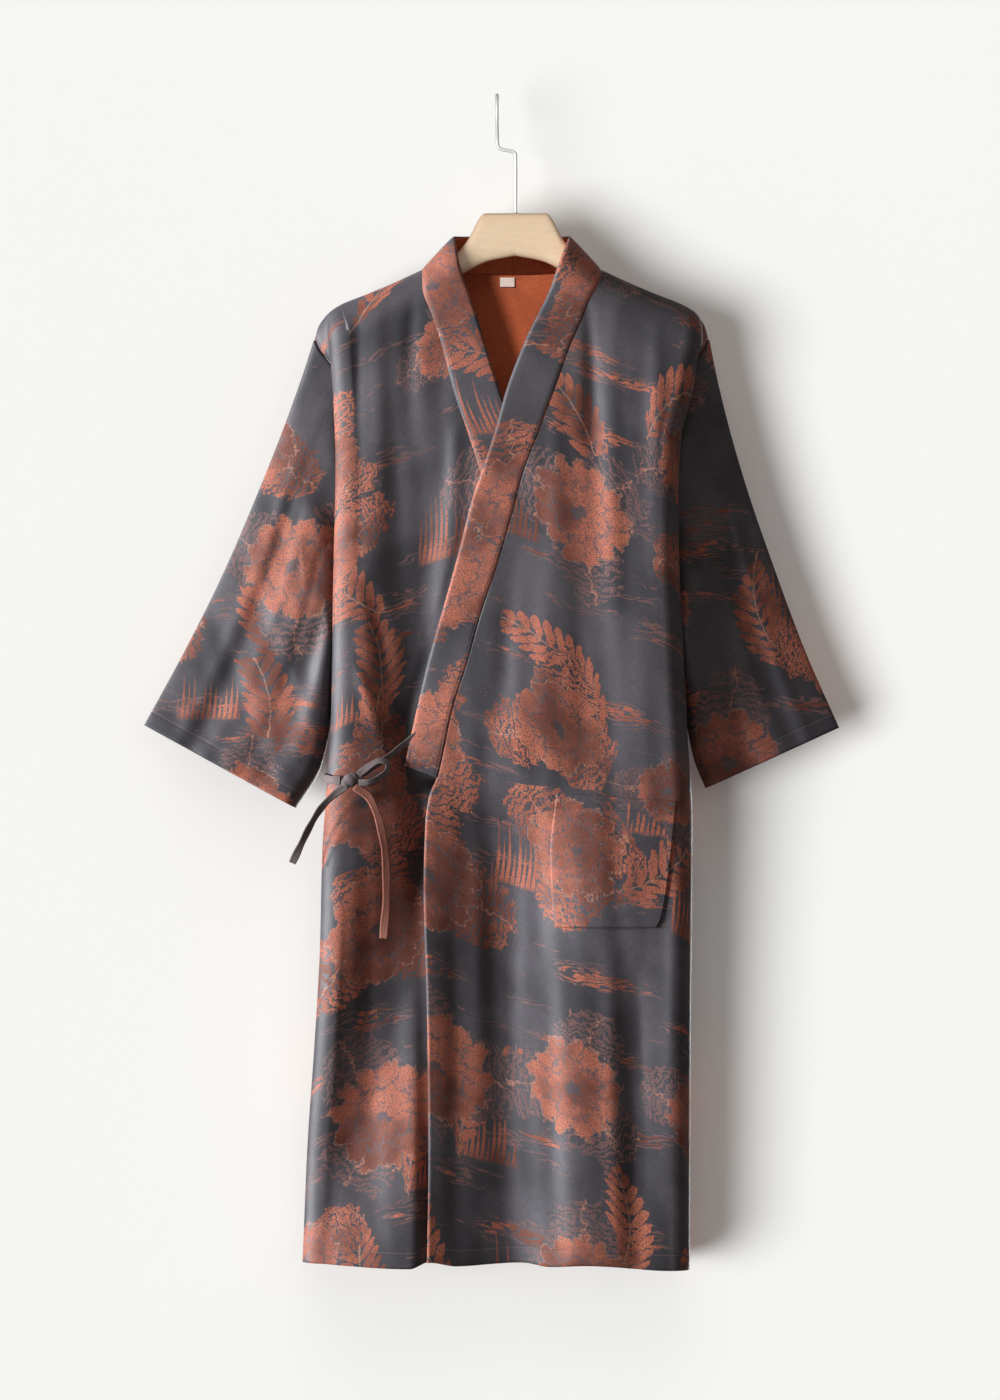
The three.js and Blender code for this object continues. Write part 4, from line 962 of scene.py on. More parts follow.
def plain_cloth(name, darker, lighter):
    """One-colour woven cloth: the reverse of the robe, and the ties."""
    look = bpy.context.scene.robe_colours
    material, w, surface = new_material(
        name, Roughness=0.7, Sheen_Weight=0.04, Sheen_Roughness=0.5, Specular_IOR_Level=0.2
    )
    place = uv(w, "cloth")
    weave = place_group(w, "cloth_weave", Vector=place, Pitch=look.thread_pitch)
    ghost = place_group(w, "garden_pattern", Vector=place, Scale=look.pattern_scale)
    shown = w.mix(w.step(w.noise(place, 11.0, 3.0), 0.3, 0.7), paint(darker), paint(lighter))
    shown = w.mix(ghost["Rust"] * 0.12, shown, paint("slate_deep"))
    w.put(surface.inputs["Base Color"], toned(w, shown, weave["Tone"], 0.45))
    bumped(w, surface, weave["Height"], 0.4, 0.0005)
    return material


def label_white(name):
    """Bare white woven satin."""
    material, w, surface = new_material(name, Roughness=0.5, Sheen_Weight=0.1)
    weave = place_group(w, "cloth_weave", Vector=uv(w, "cloth"), Pitch=0.0007)
    shown = w.mix(w.step(weave["Tone"], -0.2, 0.2), (0.86, 0.84, 0.79, 1), (0.95, 0.94, 0.9, 1))
    w.put(surface.inputs["Base Color"], shown)
    bumped(w, surface, weave["Height"], 0.3, 0.0002)
    return material


# Cloths: what makes each of them, and what that takes besides the name.
CLOTHS = {
    "robe_outside": (patterned_cloth, HEM_STITCHES, (0.0, 0.0)),
    "band_outside": (patterned_cloth, BAND_STITCHES, (0.29, 0.63)),
    "robe_inside": (plain_cloth, "reverse_deep", "reverse"),
    "slate_tie": (plain_cloth, "tie_deep", "tie"),
    "rust_tie": (plain_cloth, "tie_rust_deep", "tie_rust"),
    "label_white": (label_white,),
}


def cloth_material(name):
    """The cloth of that name, made when it is first asked for."""
    make, *values = CLOTHS[name]
    return bpy.data.materials.get(name) or make(name, *values)


# ---- Settings


def colour_property(name, description, default):
    return bpy.props.FloatVectorProperty(
        name=name, description=description, default=default, size=3, min=0, max=1, subtype="COLOR"
    )


def length_property(name, description, default):
    return bpy.props.FloatProperty(
        name=name, description=description, default=default, min=0, unit="LENGTH", precision=4
    )


class RobeSizes(bpy.types.PropertyGroup):
    """Sizes that change how fine and how deep the cloth is made."""

    columns: bpy.props.IntProperty(
        name="Columns", description="Grid columns over a front panel", default=84, min=20, max=160
    )
    rows: bpy.props.IntProperty(
        name="Rows", description="Grid rows from shoulder to hem", default=300, min=60, max=400
    )
    cloth: length_property("Cloth", "Thickness of the cloth", 0.0012)
    band: length_property("Band", "Thickness of the neckband", 0.0022)
    strip: length_property("Strip", "Thickness of a tie", 0.0014)
    crease: bpy.props.FloatProperty(
        name="Creases", description="Depth of the creases", default=1.8, min=0, max=3
    )
    camera_distance: length_property("Camera distance", "From camera to robe", 6.0)


class RobeColours(bpy.types.PropertyGroup):
    """Colours of the cloth, wood and stage, and the size of the pattern."""

    slate: colour_property("Slate", "Lighter ground of the cloth", (0.07, 0.066, 0.077))
    slate_deep: colour_property("Deep slate", "Darker ground of the cloth", (0.04, 0.038, 0.045))
    rust: colour_property("Rust", "Lighter colour of the motifs", (0.39, 0.114, 0.064))
    rust_deep: colour_property("Deep rust", "Darker colour of the motifs", (0.15, 0.038, 0.019))
    mauve: colour_property("Mauve", "Colour of the hatched lines", (0.16, 0.08, 0.075))
    pale_line: colour_property("Pale line", "Colour of the outlines", (0.45, 0.2, 0.13))
    reverse: colour_property("Reverse", "Inside of the cloth", (0.6, 0.17, 0.075))
    reverse_deep: colour_property("Deep reverse", "Inside of the cloth, darker", (0.5, 0.13, 0.055))
    tie: colour_property("Tie", "Slate ties", (0.15, 0.12, 0.125))
    tie_deep: colour_property("Deep tie", "Slate ties, darker", (0.09, 0.072, 0.076))
    tie_rust: colour_property("Rust tie", "Rust tie", (0.36, 0.15, 0.11))
    tie_rust_deep: colour_property("Deep rust tie", "Rust tie, darker", (0.24, 0.09, 0.065))
    thread: colour_property("Thread", "Sewing thread", (0.13, 0.09, 0.09))
    wood: colour_property("Wood", "Hanger", (0.78, 0.58, 0.4))
    wood_deep: colour_property("Deep wood", "Grain of the hanger", (0.71, 0.515, 0.345))
    stage: colour_property("Stage", "Floor and wall", (0.905, 0.903, 0.885))
    pattern_scale: bpy.props.FloatProperty(
        name="Pattern scale", description="Above 1, smaller motifs", default=1.0, min=0.2, max=4
    )
    thread_pitch: length_property("Thread pitch", "Distance between threads", 0.0011)


# ---- Pieces


def front_panel(side, sign, layer, seam, edge):
    """Grid of a front: its face from the inner edge, then the side fold to the seam."""
    columns, rows = context_sizes().columns, context_sizes().rows
    a = np.linspace(0, 1, columns + 1)[:-1]
    c = np.linspace(0, 1, CORNER_COLUMNS[layer])
    face = face_columns(side, sign, layer, -1, lambda z: edge_x(seam, edge, z), a, rows)
    return np.concatenate([face, corner_columns(side, sign, layer, -1, c, rows)])


def back_panel():
    """Grid of the back, from the right side seam to the left one."""
    rows = context_sizes().rows
    c = np.linspace(0, 1, CORNER_COLUMNS["back"])[1:]
    a = np.linspace(0, 1, BACK_COLUMNS)
    neck = np.linspace(0, NECK, NECK_COLUMNS)[:-1]

    def half(side, sign, across):
        """Columns of one half, from the middle to its side seam."""

        def shoulder(z):
            return np.full(np.shape(z), MIDDLE + sign * NECK)

        face = face_columns(side, sign, "back", 1, shoulder, a, rows)
        corner = corner_columns(side, sign, "back", 1, c, rows)
        return np.concatenate([neck_columns(across, sign, rows), face, corner])

    return np.concatenate([half(RIGHT_SIDE, -1, neck)[::-1], half(LEFT_SIDE, 1, neck[1:])])


def held_off(points, facing):
    """Keeps a body panel on its own side of the seam plane, clear of it by half the seam gap."""
    y = points[..., 1]
    points[..., 1] = np.maximum(y, SEAM / 2) if facing > 0 else np.minimum(y, -SEAM / 2)
    return points


class BuildBody(bpy.types.Operator):
    """Makes the back, the overlap and the underlap"""

    bl_idname = "robe.build_body"
    bl_label = "Body panels"

    def execute(self, context):
        for name, points, out, start, lean in (
            ("back", held_off(back_panel(), 1), 1, BACK_CLOTH, 0.0),
            ("front_left", held_off(front_panel(*LEFT_FRONT), -1), -1, 0.0, 1.0),
            ("front_right", held_off(front_panel(*RIGHT_FRONT), -1), 1, 0.0, 0.0),
        ):
            cloth, sewing = panel_maps(points, start, lean)
            if name == "front_right":
                # its columns run the other way, and so does its cloth
                cloth[..., 0] = points[:1, :, 0] * MM - cloth[..., 0] + RIGHT_CLOTH * MM
            panel = grid_object("robe_" + name, points, out, cloth, sewing)
            wall(panel, context_sizes().cloth / MM, "robe_outside", "robe_inside")
            declare(panel, points, name, ["hanger_bar"])
        return {"FINISHED"}


def sleeve(side, sign, rows_table):
    """Grid of a sleeve: a flat tube from the armhole to the cuff.

    Round it by an angle: its place between the upper and lower fold is (1 - cos)/2, and its
    depth is the sine times half the sleeve's thickness, less its folds and creases. Halfway
    down it fills out to a section with steep sides.
    """
    angle = circle(SLEEVE_GRID[0])[:, None]
    at = np.linspace(0, 1, SLEEVE_GRID[1])[None, :]
    across = (1 - np.cos(angle)) / 2
    value = {key: through(rows_table, "at", key, at) for key in rows_table}
    x = lerp(value["upperX"], value["lowerX"], across)
    z = lerp(value["upperZ"], value["lowerZ"], across)
    chord = lerp(rows_table["upperX"][0], rows_table["lowerX"][0], across)
    hug = seam_x(side, sign, lerp(ARM_TOP, ARM_END, across)) - chord
    fade = (1 - smooth(at / 0.35)) ** 2
    bulge, front = np.abs(np.sin(angle)), np.sin(angle) > 0
    fold = 0.0
    for armhole_end, cuff_end, width, depth in zip(*SLEEVE_FOLDS.values()):
        centre = lerp(armhole_end, cuff_end, at)
        centre = np.where(front, centre, 1.06 - centre)
        fold = fold + depth * np.exp(-0.5 * ((across - centre) / width) ** 2)
    fold = fold * smooth(at / 0.5)
    crease = 0.0
    wide, long = SLEEVE_SPAN
    for a0, t0, a1, t1, width, depth in zip(*SLEEVE_CREASES.values()):
        run = np.array([(a1 - a0) * wide, (t1 - t0) * long])
        offset = (across - a0) * wide, (at - t0) * long
        t = np.clip((offset[0] * run[0] + offset[1] * run[1]) / np.hypot(*run) ** 2, 0, 1)
        past = np.hypot(offset[0] - t * run[0], offset[1] - t * run[1])
        swell = 4 * np.clip(t, 0.04, 0.96) * (1 - np.clip(t, 0.04, 0.96))
        crease = crease + depth * swell**0.5 * np.exp(-0.5 * (past / (width * 0.4)) ** 2)
    waves = ripple(x + z * 0.35, z * 0.6, 1.1 * sign) * smooth(at / 0.25)
    slope = (across / 0.91 + 1e-3) ** -6 + ((1 - across) / 0.06 + 1e-3) ** -3
    full = 0.4 * bulge + 1.5 * slope ** (-1 / 6)
    full = np.where(front, lerp(bulge, full, smooth(at / 0.3)), bulge)
    fine = fold + crease * smooth(at / 0.06) * context_sizes().crease + waves
    y = value["y"] - np.sign(np.sin(angle)) * (full * value["half"] - bulge * fine)
    return np.stack([x + hug * fade + sign * SLEEVE_GAP, y, z], -1)


def sleeve_maps(points, sign, rows_table):
    """UV grids of a sleeve: flat x and z on its front, mirrored over the upper fold behind."""
    ring = np.concatenate([points, points[:1]])
    flat = ring[..., [0, 2]].copy()
    first = np.array([rows_table["upperX"][0], rows_table["upperZ"][0]])
    last = np.array([rows_table["upperX"][-1], rows_table["upperZ"][-1]])
    normal = (last - first)[::-1] * (-1, 1) / np.linalg.norm(last - first)
    back = np.arange(len(ring)) > len(points) // 2
    away = (flat - first) @ normal
    flat = np.where(back[:, None, None], flat - 2 * away[..., None] * normal, flat)
    down = lengths(ring, 1)
    sewing = np.stack([lengths(ring, 0), down[:, -1:] - down], -1) * MM
    return (flat + (SLEEVE_CLOTH[0] * sign, SLEEVE_CLOTH[1])) * MM, sewing


class BuildSleeves(bpy.types.Operator):
    """Makes the two wide sleeves"""

    bl_idname = "robe.build_sleeves"
    bl_label = "Sleeves"

    def execute(self, context):
        for name, side, sign, rows_table, out in (
            ("sleeve_right", RIGHT_SIDE, -1, RIGHT_SLEEVE, -1),
            ("sleeve_left", LEFT_SIDE, 1, LEFT_SLEEVE, 1),
        ):
            points = sleeve(side, sign, rows_table)
            cloth, sewing = sleeve_maps(points, sign, rows_table)
            piece = grid_object("robe_" + name, points, out, cloth, sewing, ring=True)
            wall(piece, context_sizes().cloth / MM, "robe_outside", "robe_inside")
            whole = np.concatenate([points, points[:1]])
            declare(piece, whole, name, ["robe_back", "hanger_bar"])
        return {"FINISHED"}


def half_band(sign, layer, rows_table, edge):
    """Grid of half the neckband: from the middle of the back neck down to the waist.

    It spans from just past the panels' seam edge to the free edge.
    """
    half = np.linspace(0, NECK, 40)
    seam_back = neck_columns(half, sign, 60)[:, 0]
    free, y, z = [through(BACK_BAND, "half", key, half) for key in ("free", "y", "z")]
    free_back = np.stack([MIDDLE + sign * free, y, z], -1)
    top = SHOULDER["z"][0]
    turn = np.linspace(0, np.pi / 2, 26)[1:]
    below = np.linspace(top - SHOULDER_ROUND, BAND_END, 190)[1:]
    z = np.concatenate([top - SHOULDER_ROUND * (1 - np.cos(turn)), below])
    settle = smooth((top - z) / SHOULDER_ROUND)
    seam = lerp(MIDDLE + sign * NECK, edge_x(rows_table, edge, z), settle)
    seam_y = -from_seam(cloth_face(layer, seam, z), rounding(top - z))
    seam_front = np.stack([seam, seam_y, z], -1)
    free_x = through(rows_table, "z", "free", z)
    free_z = z + through(rows_table, "z", "rise", z)
    down = rounding((top - z) * SHOULDER_ROUND / 30)
    free_y = lerp(free_back[-1, 1], front_y(layer, free_x, np.minimum(free_z, z)), down)
    free_front = np.stack([free_x, free_y, free_z], -1)
    seam_line = np.concatenate([seam_back, seam_front])
    free_line = np.concatenate([free_back, free_front])
    reach = np.linalg.norm(free_line - seam_line, axis=1)[:, None, None]
    t = np.linspace(0, 1, 14)[None, :, None]
    return lerp(seam_line[:, None], free_line[:, None], lerp(-BAND_LAP / reach, 1.0, t))


def puffed(points, out, rise):
    """Moves a grid out along its normals by rise times a crown that is 0 at its long edges."""
    across = np.gradient(points, axis=0)
    down = np.gradient(points, axis=1)
    normal = np.cross(across, down) * out
    normal /= np.linalg.norm(normal, axis=-1, keepdims=True)
    t = np.linspace(-1, 1, points.shape[1])[None, :, None]
    return points + normal * rise * (1 - np.abs(t) ** 6)


class BuildNeckband(bpy.types.Operator):
    """Makes the two halves of the neckband"""

    bl_idname = "robe.build_neckband"
    bl_label = "Neckband"

    def execute(self, context):
        for side, front, out in (("left", LEFT_FRONT, -1), ("right", RIGHT_FRONT, 1)):
            points = puffed(half_band(*front[1:]), out, BAND_PUFF)
            down, across = lengths(points, 0), lengths(points, 1)
            cloth = np.stack([across * front[1], -down], -1) * MM
            sewing = np.stack([down, across], -1) * MM
            piece = grid_object("robe_neckband_" + side, points, out, cloth, sewing)
            wall(piece, context_sizes().band / MM, "band_outside", "robe_inside")
            declare(piece, points, "neckband_" + side, ["robe_back", "robe_front_" + side])
        return {"FINISHED"}


def front_map(x, z):
    """Cloth UVs of the overlap at points of its face, so that a patch matches the pattern."""
    panel = front_panel(*LEFT_FRONT)
    maps = panel_maps(panel)[0]
    columns = context_sizes().columns
    made = np.empty((*x.shape, 2))
    for j in range(x.shape[1]):
        level = z[:, j]
        rows = np.argmin(np.abs(panel[:columns, :, 2] - level.mean()), axis=1)
        at = panel[np.arange(columns), rows, 0]
        for k in range(2):
            made[:, j, k] = np.interp(x[:, j], at, maps[np.arange(columns), rows, k])
        made[:, j, 1] += (level - level.mean()) * MM
    return made


class BuildPocketAndLabel(bpy.types.Operator):
    """Makes the patch pocket and the plain label"""

    bl_idname = "robe.build_pocket"
    bl_label = "Pocket and label"

    def execute(self, context):
        columns, rows = POCKET_GRID
        t = np.linspace(0, 1, columns)[:, None]
        deep = np.linspace(0, 1, rows)[None, :]
        level = np.linspace(POCKET["z"][0], POCKET["z"][-1], rows)[None, :]
        x = lerp(through(POCKET, "z", "left", level), through(POCKET, "z", "right", level), t)
        z = level - MOUTH_DROP * t * (1 - deep)
        puff = POCKET_PUFF * np.sin(np.pi * t) * (1 + 0.8 * (1 - deep) ** 3)
        points = np.stack([x, front_y("over", x, z) - LIFT - CLOTH - puff, z], -1)
        sewing = np.stack([lengths(points, 0), lengths(points, 1)], -1) * MM
        piece = grid_object("robe_pocket", points, -1, front_map(x, z), sewing)
        wall(piece, CLOTH, "robe_outside", "robe_inside")
        declare(piece, points, "pocket", ["robe_front_left"])

        x = np.linspace(LABEL["left"], LABEL["right"], LABEL_GRID[0])[:, None]
        z = np.linspace(LABEL["top"], LABEL["bottom"], LABEL_GRID[1])[None, :]
        x, z = np.broadcast_arrays(x, z)
        behind = cloth_face("back", x, z) * rounding(ridge(x) - z)
        wave = 0.25 * np.sin(x / 2.9) * np.sin(z / 3.1)
        y = behind.min() - CLOTH - LIFT - LABEL_LIFT + wave
        points = np.stack([x, y, z], -1)
        flat = np.stack([x, z], -1) * MM
        label = grid_object("robe_label", points, -1, flat, flat)
        wall(label, LABEL_WALL, "label_white")
        declare(label, points, "label", ["robe_back"])
        return {"FINISHED"}


def smooth_line(points, steps):
    """Points on a centripetal Catmull-Rom curve through the given ones, even in parameter."""
    p = np.array(points, float)
    p = np.array([2 * p[0] - p[1], *p, 2 * p[-1] - p[-2]])
    knots = np.concatenate([[0], np.cumsum(np.linalg.norm(np.diff(p, axis=0), axis=1) ** 0.5)])
    u = np.linspace(knots[1], knots[-2], steps)
    i = np.clip(np.searchsorted(knots, u, side="right") - 1, 1, len(p) - 3)
    k = [knots[i + j][:, None] for j in (-1, 0, 1, 2)]
    q = [p[i + j] for j in (-1, 0, 1, 2)]
    u = u[:, None]

    def blend(a, b, ka, kb):
        return (kb - u) / (kb - ka) * a + (u - ka) / (kb - ka) * b

    a = [blend(q[j], q[j + 1], k[j], k[j + 1]) for j in range(3)]
    b = [blend(a[j], a[j + 1], k[j], k[j + 2]) for j in range(2)]
    return blend(b[0], b[1], k[1], k[2])


def ribbon(line, width, twist=0.0, upright=False):
    """Grid of a tie strip: a crowned section carried along its middle line.

    The strip's width lies across its run in the plane of the front, or upright. twist turns it
    about its run, by that many degrees halfway along and by none at its ends. Its width wavers
    a little.
    """
    steps, across = RIBBON_GRID
    middle = smooth_line(line, steps)
    run = np.gradient(middle, axis=0)
    run /= np.linalg.norm(run, axis=1, keepdims=True)
    facing = np.array([0.0, -1.0, 0.0])
    side = np.tile([0.0, 0.0, 1.0], (steps, 1)) if upright else np.cross(run, facing)
    side -= run * (side * run).sum(1, keepdims=True)
    side /= np.linalg.norm(side, axis=1, keepdims=True)
    up = np.cross(side, run)
    turn = np.radians(twist) * np.sin(np.linspace(0, np.pi, steps))[:, None]
    side, up = side * np.cos(turn) + up * np.sin(turn), up * np.cos(turn) - side * np.sin(turn)
    t = np.linspace(-1, 1, across)[None, :, None]
    crown = 0.35 * (1 - t**2) + 0.3 * np.exp(-(((np.abs(t) - 0.72) / 0.16) ** 2))
    wobble = 1 + 0.1 * np.sin(np.linspace(0, 17, steps) ** 1.1)[:, None, None]
    return middle[:, None] + side[:, None] * t * width / 2 * wobble + up[:, None] * crown


class BuildTies(bpy.types.Operator):
    """Makes the side bow: two ties, the knot, the loop and the two tails"""

    bl_idname = "robe.build_ties"
    bl_label = "Ties"

    def execute(self, context):
        knot = self.knot()
        for name, line, width, twist, upright, look in (
            ("tie_left", TIE_LEFT, 7.0, 35, False, "slate"),
            ("tie_right", TIE_RIGHT, 8.5, 0, True, "slate"),
            ("tie_loop", TIE_LOOP, 6.5, 40, False, "slate"),
            ("tie_tail_side", TIE_TAIL_SIDE, 7.5, 35, False, "slate"),
            ("tie_tail_front", TIE_TAIL_FRONT, 8.5, 20, False, "rust"),
        ):
            points = ribbon(line, width, twist, upright)
            cloth = np.stack([lengths(points, 1), lengths(points, 0)], -1) * MM
            strip = grid_object("robe_" + name, points, 1, cloth, cloth)
            wall(strip, context_sizes().strip / MM, look + "_tie")
            rests = ["robe_front_left" if name == "tie_left" else "robe_front_right"]
            declare(strip, points, name, rests)
        return {"FINISHED"}

    def knot(self):
        """A flattened, leaning ball with wraps: its radius follows |cos| of a slanted angle."""
        turn = circle(KNOT_GRID[0])[:, None]
        tilt = np.linspace(0.02, np.pi - 0.02, KNOT_GRID[1])[None, :]
        wraps = np.abs(np.cos(3.52 * np.cos(tilt) + 0.5 * np.sin(turn + 0.6)))
        radius = 0.86 + 0.16 * wraps**0.6 * np.sin(tilt)
        along = np.cos(tilt) * KNOT["width"] / 2 * np.ones_like(turn)
        across = np.sin(tilt) * np.sin(turn) * radius * KNOT["height"] / 2
        x = KNOT["x"] + along * math.cos(KNOT["lean"]) - across * math.sin(KNOT["lean"])
        y = KNOT["y"] + np.sin(tilt) * np.cos(turn) * radius * KNOT["depth"] / 2
        z = KNOT["z"] + along * math.sin(KNOT["lean"]) + across * math.cos(KNOT["lean"])
        u, v = [np.linspace(0, size, n) for size, n in ((0.06, len(turn) + 1), (0.03, x.shape[1]))]
        cloth = np.stack(np.broadcast_arrays(u[:, None], v[None, :]), -1)
        points = np.stack([x, y, z], -1)
        knot = grid_object("robe_tie_knot", points, -1, cloth, ring=True, closed=True)
        knot.data.materials.append(cloth_material("slate_tie"))
        stand_for(knot, "tie_knot")
        return knot


def hanger_section(place, turn):
    """Points of the hanger's rounded section at a distance from its middle.

    Between its top and underside it is a squared circle: sine and cosine to a power that goes
    from 0.6 at the crown to 1 on the arms. Both shrink to a round end at the arms' tips.
    """
    x = HANGER_MIDDLE + place
    off = np.abs(place)
    shoulder = np.minimum(ridge(x) - CLOTH - LIFT, HANGER_TOP["z"][-1])
    high = np.where(off < CROWN_HALF, through(HANGER_TOP, "x", "z", off), shoulder)
    low = through(HANGER_UNDER, "x", "z", off)
    middle = (high + low) / 2
    squared = lerp(0.6, 1.0, smooth((off - 40) / 45))
    tip = np.maximum(off + HANGER_TIP - HANGER_HALF, 0) / HANGER_TIP
    rounded = np.sqrt(1 - 0.95 * tip * tip)

    def flat(value):
        return np.sign(value) * np.abs(value) ** squared

    y = HANGER_THICK * rounded * flat(np.cos(turn))
    z = middle + (high - middle) * rounded * flat(np.sin(turn))
    return np.stack(np.broadcast_arrays(x, y, z), -1)


def tube(line, radius, sides):
    """Grid of a round wire along a line of points: a circle carried on turning axes."""
    run = np.gradient(line, axis=0)
    run /= np.linalg.norm(run, axis=1, keepdims=True)

    def beside(axis):
        return np.array(axis) - run * (run @ np.array(axis))[:, None]

    side = beside([1.0, 0.0, 0.0])
    weak = np.linalg.norm(side, axis=1, keepdims=True) < 0.35
    side = np.where(weak, beside([0.0, 0.0, 1.0]), side)
    side /= np.linalg.norm(side, axis=1, keepdims=True)
    up = np.cross(run, side)
    turn = circle(sides)[:, None, None]
    return line[None] + radius * (side[None] * np.cos(turn) + up[None] * np.sin(turn))


class BuildHanger(bpy.types.Operator):
    """Makes the wooden hanger and its wire hook"""

    bl_idname = "robe.build_hanger"
    bl_label = "Hanger"

    def execute(self, context):
        crown = np.linspace(0, CROWN_HALF, 60)
        arm = HANGER_HALF + (CROWN_HALF - HANGER_HALF) * np.linspace(1, 0, 70)[1:] ** 1.6
        half = np.concatenate([crown, arm])
        place = np.concatenate([-half[:0:-1], half])[None, :]
        bar = hanger_section(place, circle(56)[:, None])
        wire = tube(smooth_line(HOOK_LINE, 220), HOOK_RADIUS, 20)
        for name, points, node, slot_name, make in (
            ("hanger_bar", bar, "hanger", "hanger_wood", hanger_wood),
            ("hanger_hook", wire, "hook", "hook_steel", hook_steel),
        ):
            thing = grid_object(name, points, 1, ring=True, closed=True)
            thing.data.materials.append(make())
            stand_for(thing, node)
        return {"FINISHED"}


def hanger_wood():
    """Pale varnished wood with long grain."""
    material, w, surface = new_material(
        "pale_wood", Roughness=0.42, Coat_Weight=0.25, Coat_Roughness=0.3, Specular_IOR_Level=0.45
    )
    place = w.out(w.node("ShaderNodeTexCoord"), "Object")
    grain = place_group(w, "wood_grain", Vector=place)
    shown = w.mix(grain["Rings"] * 0.5, paint("wood"), paint("wood_deep"))
    shown = w.mix(grain["Pores"] * 0.35, shown, paint("wood_deep"))
    w.put(surface.inputs["Base Color"], shown)
    bumped(w, surface, grain["Pores"] + grain["Rings"] * 0.3, 0.15, 0.0003)
    return material


def hook_steel():
    """Bright drawn wire, a little uneven."""
    material, w, surface = new_material("drawn_wire", Metallic=0.35)
    place = w.out(w.node("ShaderNodeTexCoord"), "Object")
    uneven = w.noise(place, 180.0, 3.0, flat=False)
    w.put(surface.inputs["Base Color"], w.mix(uneven, (0.78, 0.77, 0.74, 1), (0.95, 0.94, 0.92, 1)))
    w.put(surface.inputs["Roughness"], 0.22 + uneven * 0.2)
    bumped(w, surface, uneven, 0.08, 0.0002)
    return material


# ---- Stage


def stage_material(name):
    """Plain pale paper that throws little light back. Its back lets light and sight through."""
    material, w, surface = new_material(name, Roughness=0.95, Specular_IOR_Level=0.1)
    place = w.out(w.node("ShaderNodeTexCoord"), "Object")
    near = paint("stage")
    far = (*[v * 0.985 for v in near[:3]], 1.0)
    pale = w.mix(w.noise(place, 1.3, 2.0, flat=False), near, far)
    path = w.node("ShaderNodeLightPath").outputs
    shown = w.mix(path["Is Camera Ray"], (0.2, 0.2, 0.2, 1), pale)
    w.put(surface.inputs["Base Color"], shown)
    back = w.node("ShaderNodeNewGeometry").outputs["Backfacing"]
    unseen = w.math("MAXIMUM", back, path["Is Shadow Ray"])
    clear = w.node("ShaderNodeBsdfTransparent").outputs[0]
    choose = w.node("ShaderNodeMixShader", {0: unseen, 1: surface.outputs[0], 2: clear})
    w.put(material.node_tree.nodes["Material Output"].inputs[0], choose.outputs[0])
    return material


def sun_light(name, turn, height, softness, strength, tint, receivers=None):
    """Light from afar: degrees to the right of the camera's side, and above level."""
    data = bpy.data.lights.new(name, "SUN")
    data.energy = strength
    data.color = tint
    data.angle = math.radians(softness)
    light = bpy.data.objects.new(name, data)
    light.rotation_euler = (math.radians(90 - height), 0, math.radians(turn))
    bpy.context.scene.collection.objects.link(light)
    if receivers is not None:
        light.light_linking.receiver_collection = receivers


def lit_pieces(name, chosen):
    """A collection of the pieces that a light reaches, by their names."""
    made = bpy.data.collections.new(name)
    for thing in bpy.context.scene.objects:
        if thing.type == "MESH" and chosen(thing.name):
            made.objects.link(thing)
    return made


def flat_sheet(name, corners, material):
    """A single quad of the stage."""
    mesh = bpy.data.meshes.new(name)
    mesh.from_pydata(corners, [], [(0, 1, 2, 3)])
    thing = bpy.data.objects.new(name, mesh)
    thing.data.materials.append(material)
    bpy.context.scene.collection.objects.link(thing)


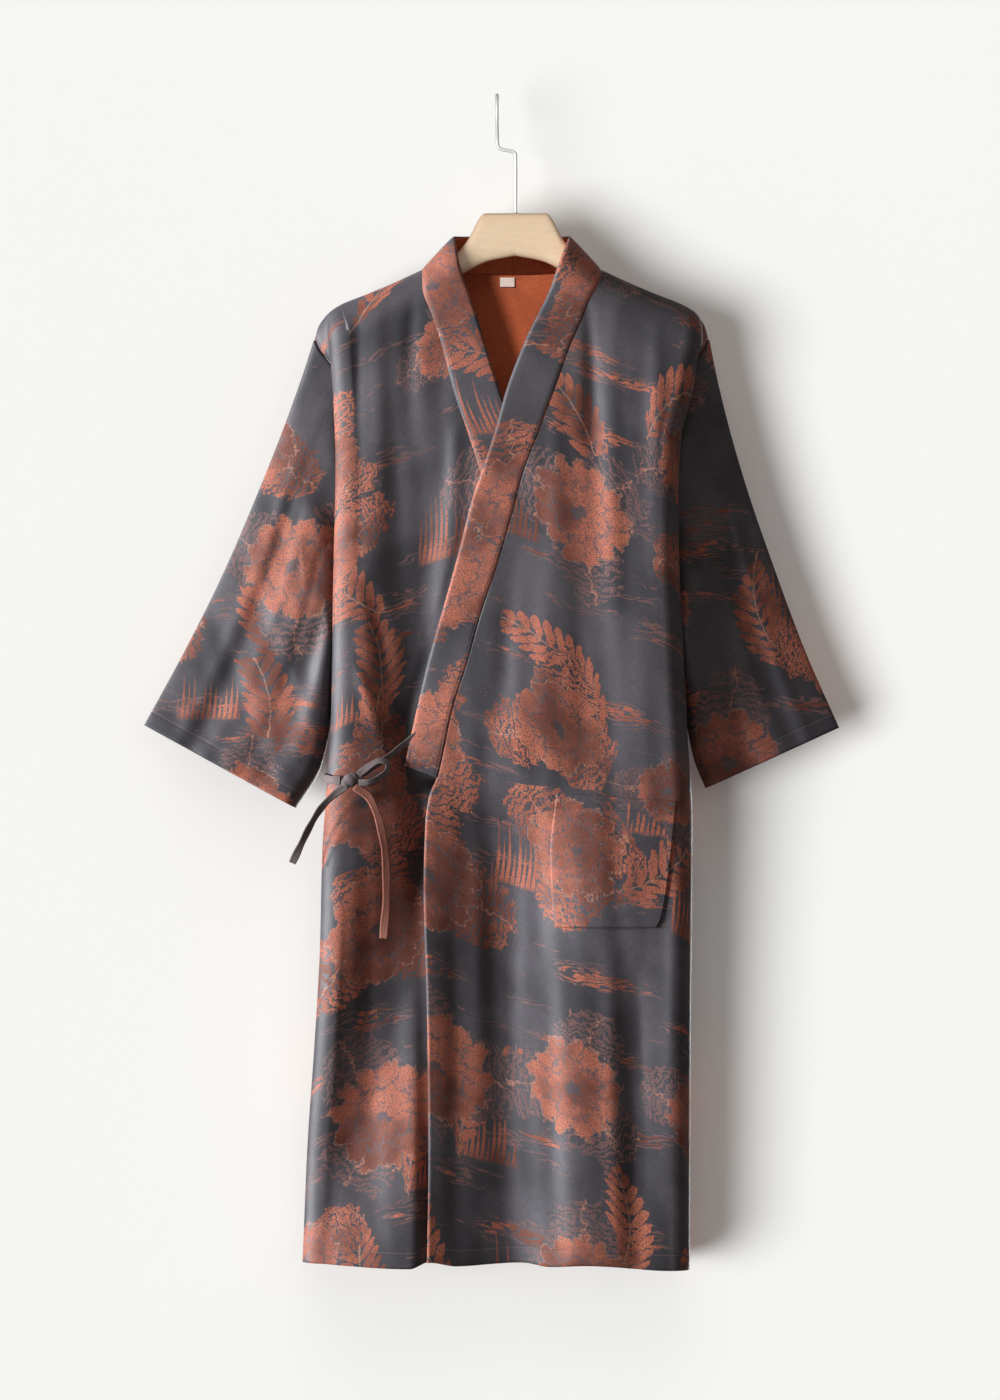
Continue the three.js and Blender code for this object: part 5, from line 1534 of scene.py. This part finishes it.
class BuildStage(bpy.types.Operator):
    """Makes the camera, the floor, the wall and the lights"""

    bl_idname = "robe.build_stage"
    bl_label = "Stage"

    def execute(self, context):
        scene = context.scene
        distance = context_sizes().camera_distance
        plane, height, film = -0.03, 1.61, 36.0
        data = bpy.data.cameras.new("camera")
        data.sensor_fit = "VERTICAL"
        data.sensor_height = data.sensor_width = film
        data.lens = film * distance / height
        camera = bpy.data.objects.new("camera", data)
        camera.location = (0.0035, plane - distance, -0.697)
        camera.rotation_euler = (math.pi / 2, 0, 0)
        scene.collection.objects.link(camera)
        scene.camera = camera

        back, low, high, side, far = 0.079, -1.72, 3.2, 5, 60
        upright = [(-side, back, low), (side, back, low), (side, back, high), (-side, back, high)]
        ground = [(-far, -far, low), (far, -far, low), (far, far, low), (-far, far, low)]
        flat_sheet("stage_wall", upright, stage_material("stage_wall"))
        flat_sheet("stage_floor", ground, stage_material("stage_floor"))

        robe = lit_pieces("robe_pieces", lambda name: name.startswith("robe_"))
        hung = lit_pieces("hung_pieces", lambda name: not name.startswith("stage_"))
        others = lit_pieces("set_pieces", lambda name: not name.startswith("robe_"))
        inside = lit_pieces("neck_pieces", lambda name: name in ("robe_back", "robe_label"))
        floor = lit_pieces("floor_pieces", lambda name: name == "stage_floor")
        cool, warm, white = (0.97, 0.985, 1.0), (1.0, 0.86, 0.78), (1.0, 1.0, 1.0)
        sun_light("key", -39, -9, 34, 3.05, (0.97, 0.995, 1.0), others)
        sun_light("set_fill", 8, 4, 50, 0.34, (0.82, 0.96, 1.0), others)
        sun_light("window", -65, 2, 8, 4.5, cool, robe)
        sun_light("raking", -77, 6, 5, 4.6, cool, robe)
        sun_light("neck", -34, 12, 12, 2.3, warm, inside)
        sun_light("overhead", -6, 50, 38, 0.36, warm)
        sun_light("front", 14, 6, 30, 0.1, warm)
        sun_light("behind", 164, -6, 30, 3.2, white, hung)
        sun_light("above", 0, 88, 12, 1.3, white, floor)

        world = bpy.data.worlds.new("pale")
        world.use_nodes = True
        w = Wiring(world.node_tree)
        sky = world.node_tree.nodes["Background"].inputs
        sight = w.out(w.node("ShaderNodeLightPath"), "Is Camera Ray")
        w.put(sky["Color"], w.mix(sight, (*warm, 1), (0.9, 0.895, 0.875, 1)))
        w.put(sky["Strength"], 0.15 + sight * 0.77)
        scene.world = world
        scene.view_settings.view_transform = "Standard"
        scene.view_settings.look = "None"
        return {"FINISHED"}


class RobePanel(bpy.types.Panel):
    """Lists the robe's settings and its pieces"""

    bl_idname = "VIEW3D_PT_robe"
    bl_label = "Kimono robe"
    bl_space_type = "VIEW_3D"
    bl_region_type = "UI"
    bl_category = "Robe"

    def draw(self, context):
        for group in (context.scene.robe_sizes, context.scene.robe_colours):
            box = self.layout.box()
            for key in group.__annotations__:
                box.prop(group, key)
        for operator in OPERATORS:
            self.layout.operator(operator.bl_idname)


OPERATORS = (
    BuildHanger,
    BuildBody,
    BuildSleeves,
    BuildNeckband,
    BuildPocketAndLabel,
    BuildTies,
    BuildStage,
)
CLASSES = (RobeSizes, RobeColours, *OPERATORS, RobePanel)


def register():
    for cls in CLASSES:
        bpy.utils.register_class(cls)
    bpy.types.Scene.robe_sizes = bpy.props.PointerProperty(type=RobeSizes)
    bpy.types.Scene.robe_colours = bpy.props.PointerProperty(type=RobeColours)


def unregister():
    del bpy.types.Scene.robe_colours
    del bpy.types.Scene.robe_sizes
    for cls in reversed(CLASSES):
        bpy.utils.unregister_class(cls)


def main():
    register()
    bpy.ops.robe.build_hanger()
    bpy.ops.robe.build_body()
    bpy.ops.robe.build_sleeves()
    bpy.ops.robe.build_neckband()
    bpy.ops.robe.build_pocket()
    bpy.ops.robe.build_ties()
    bpy.ops.robe.build_stage()


if __name__ == "__main__":
    main()
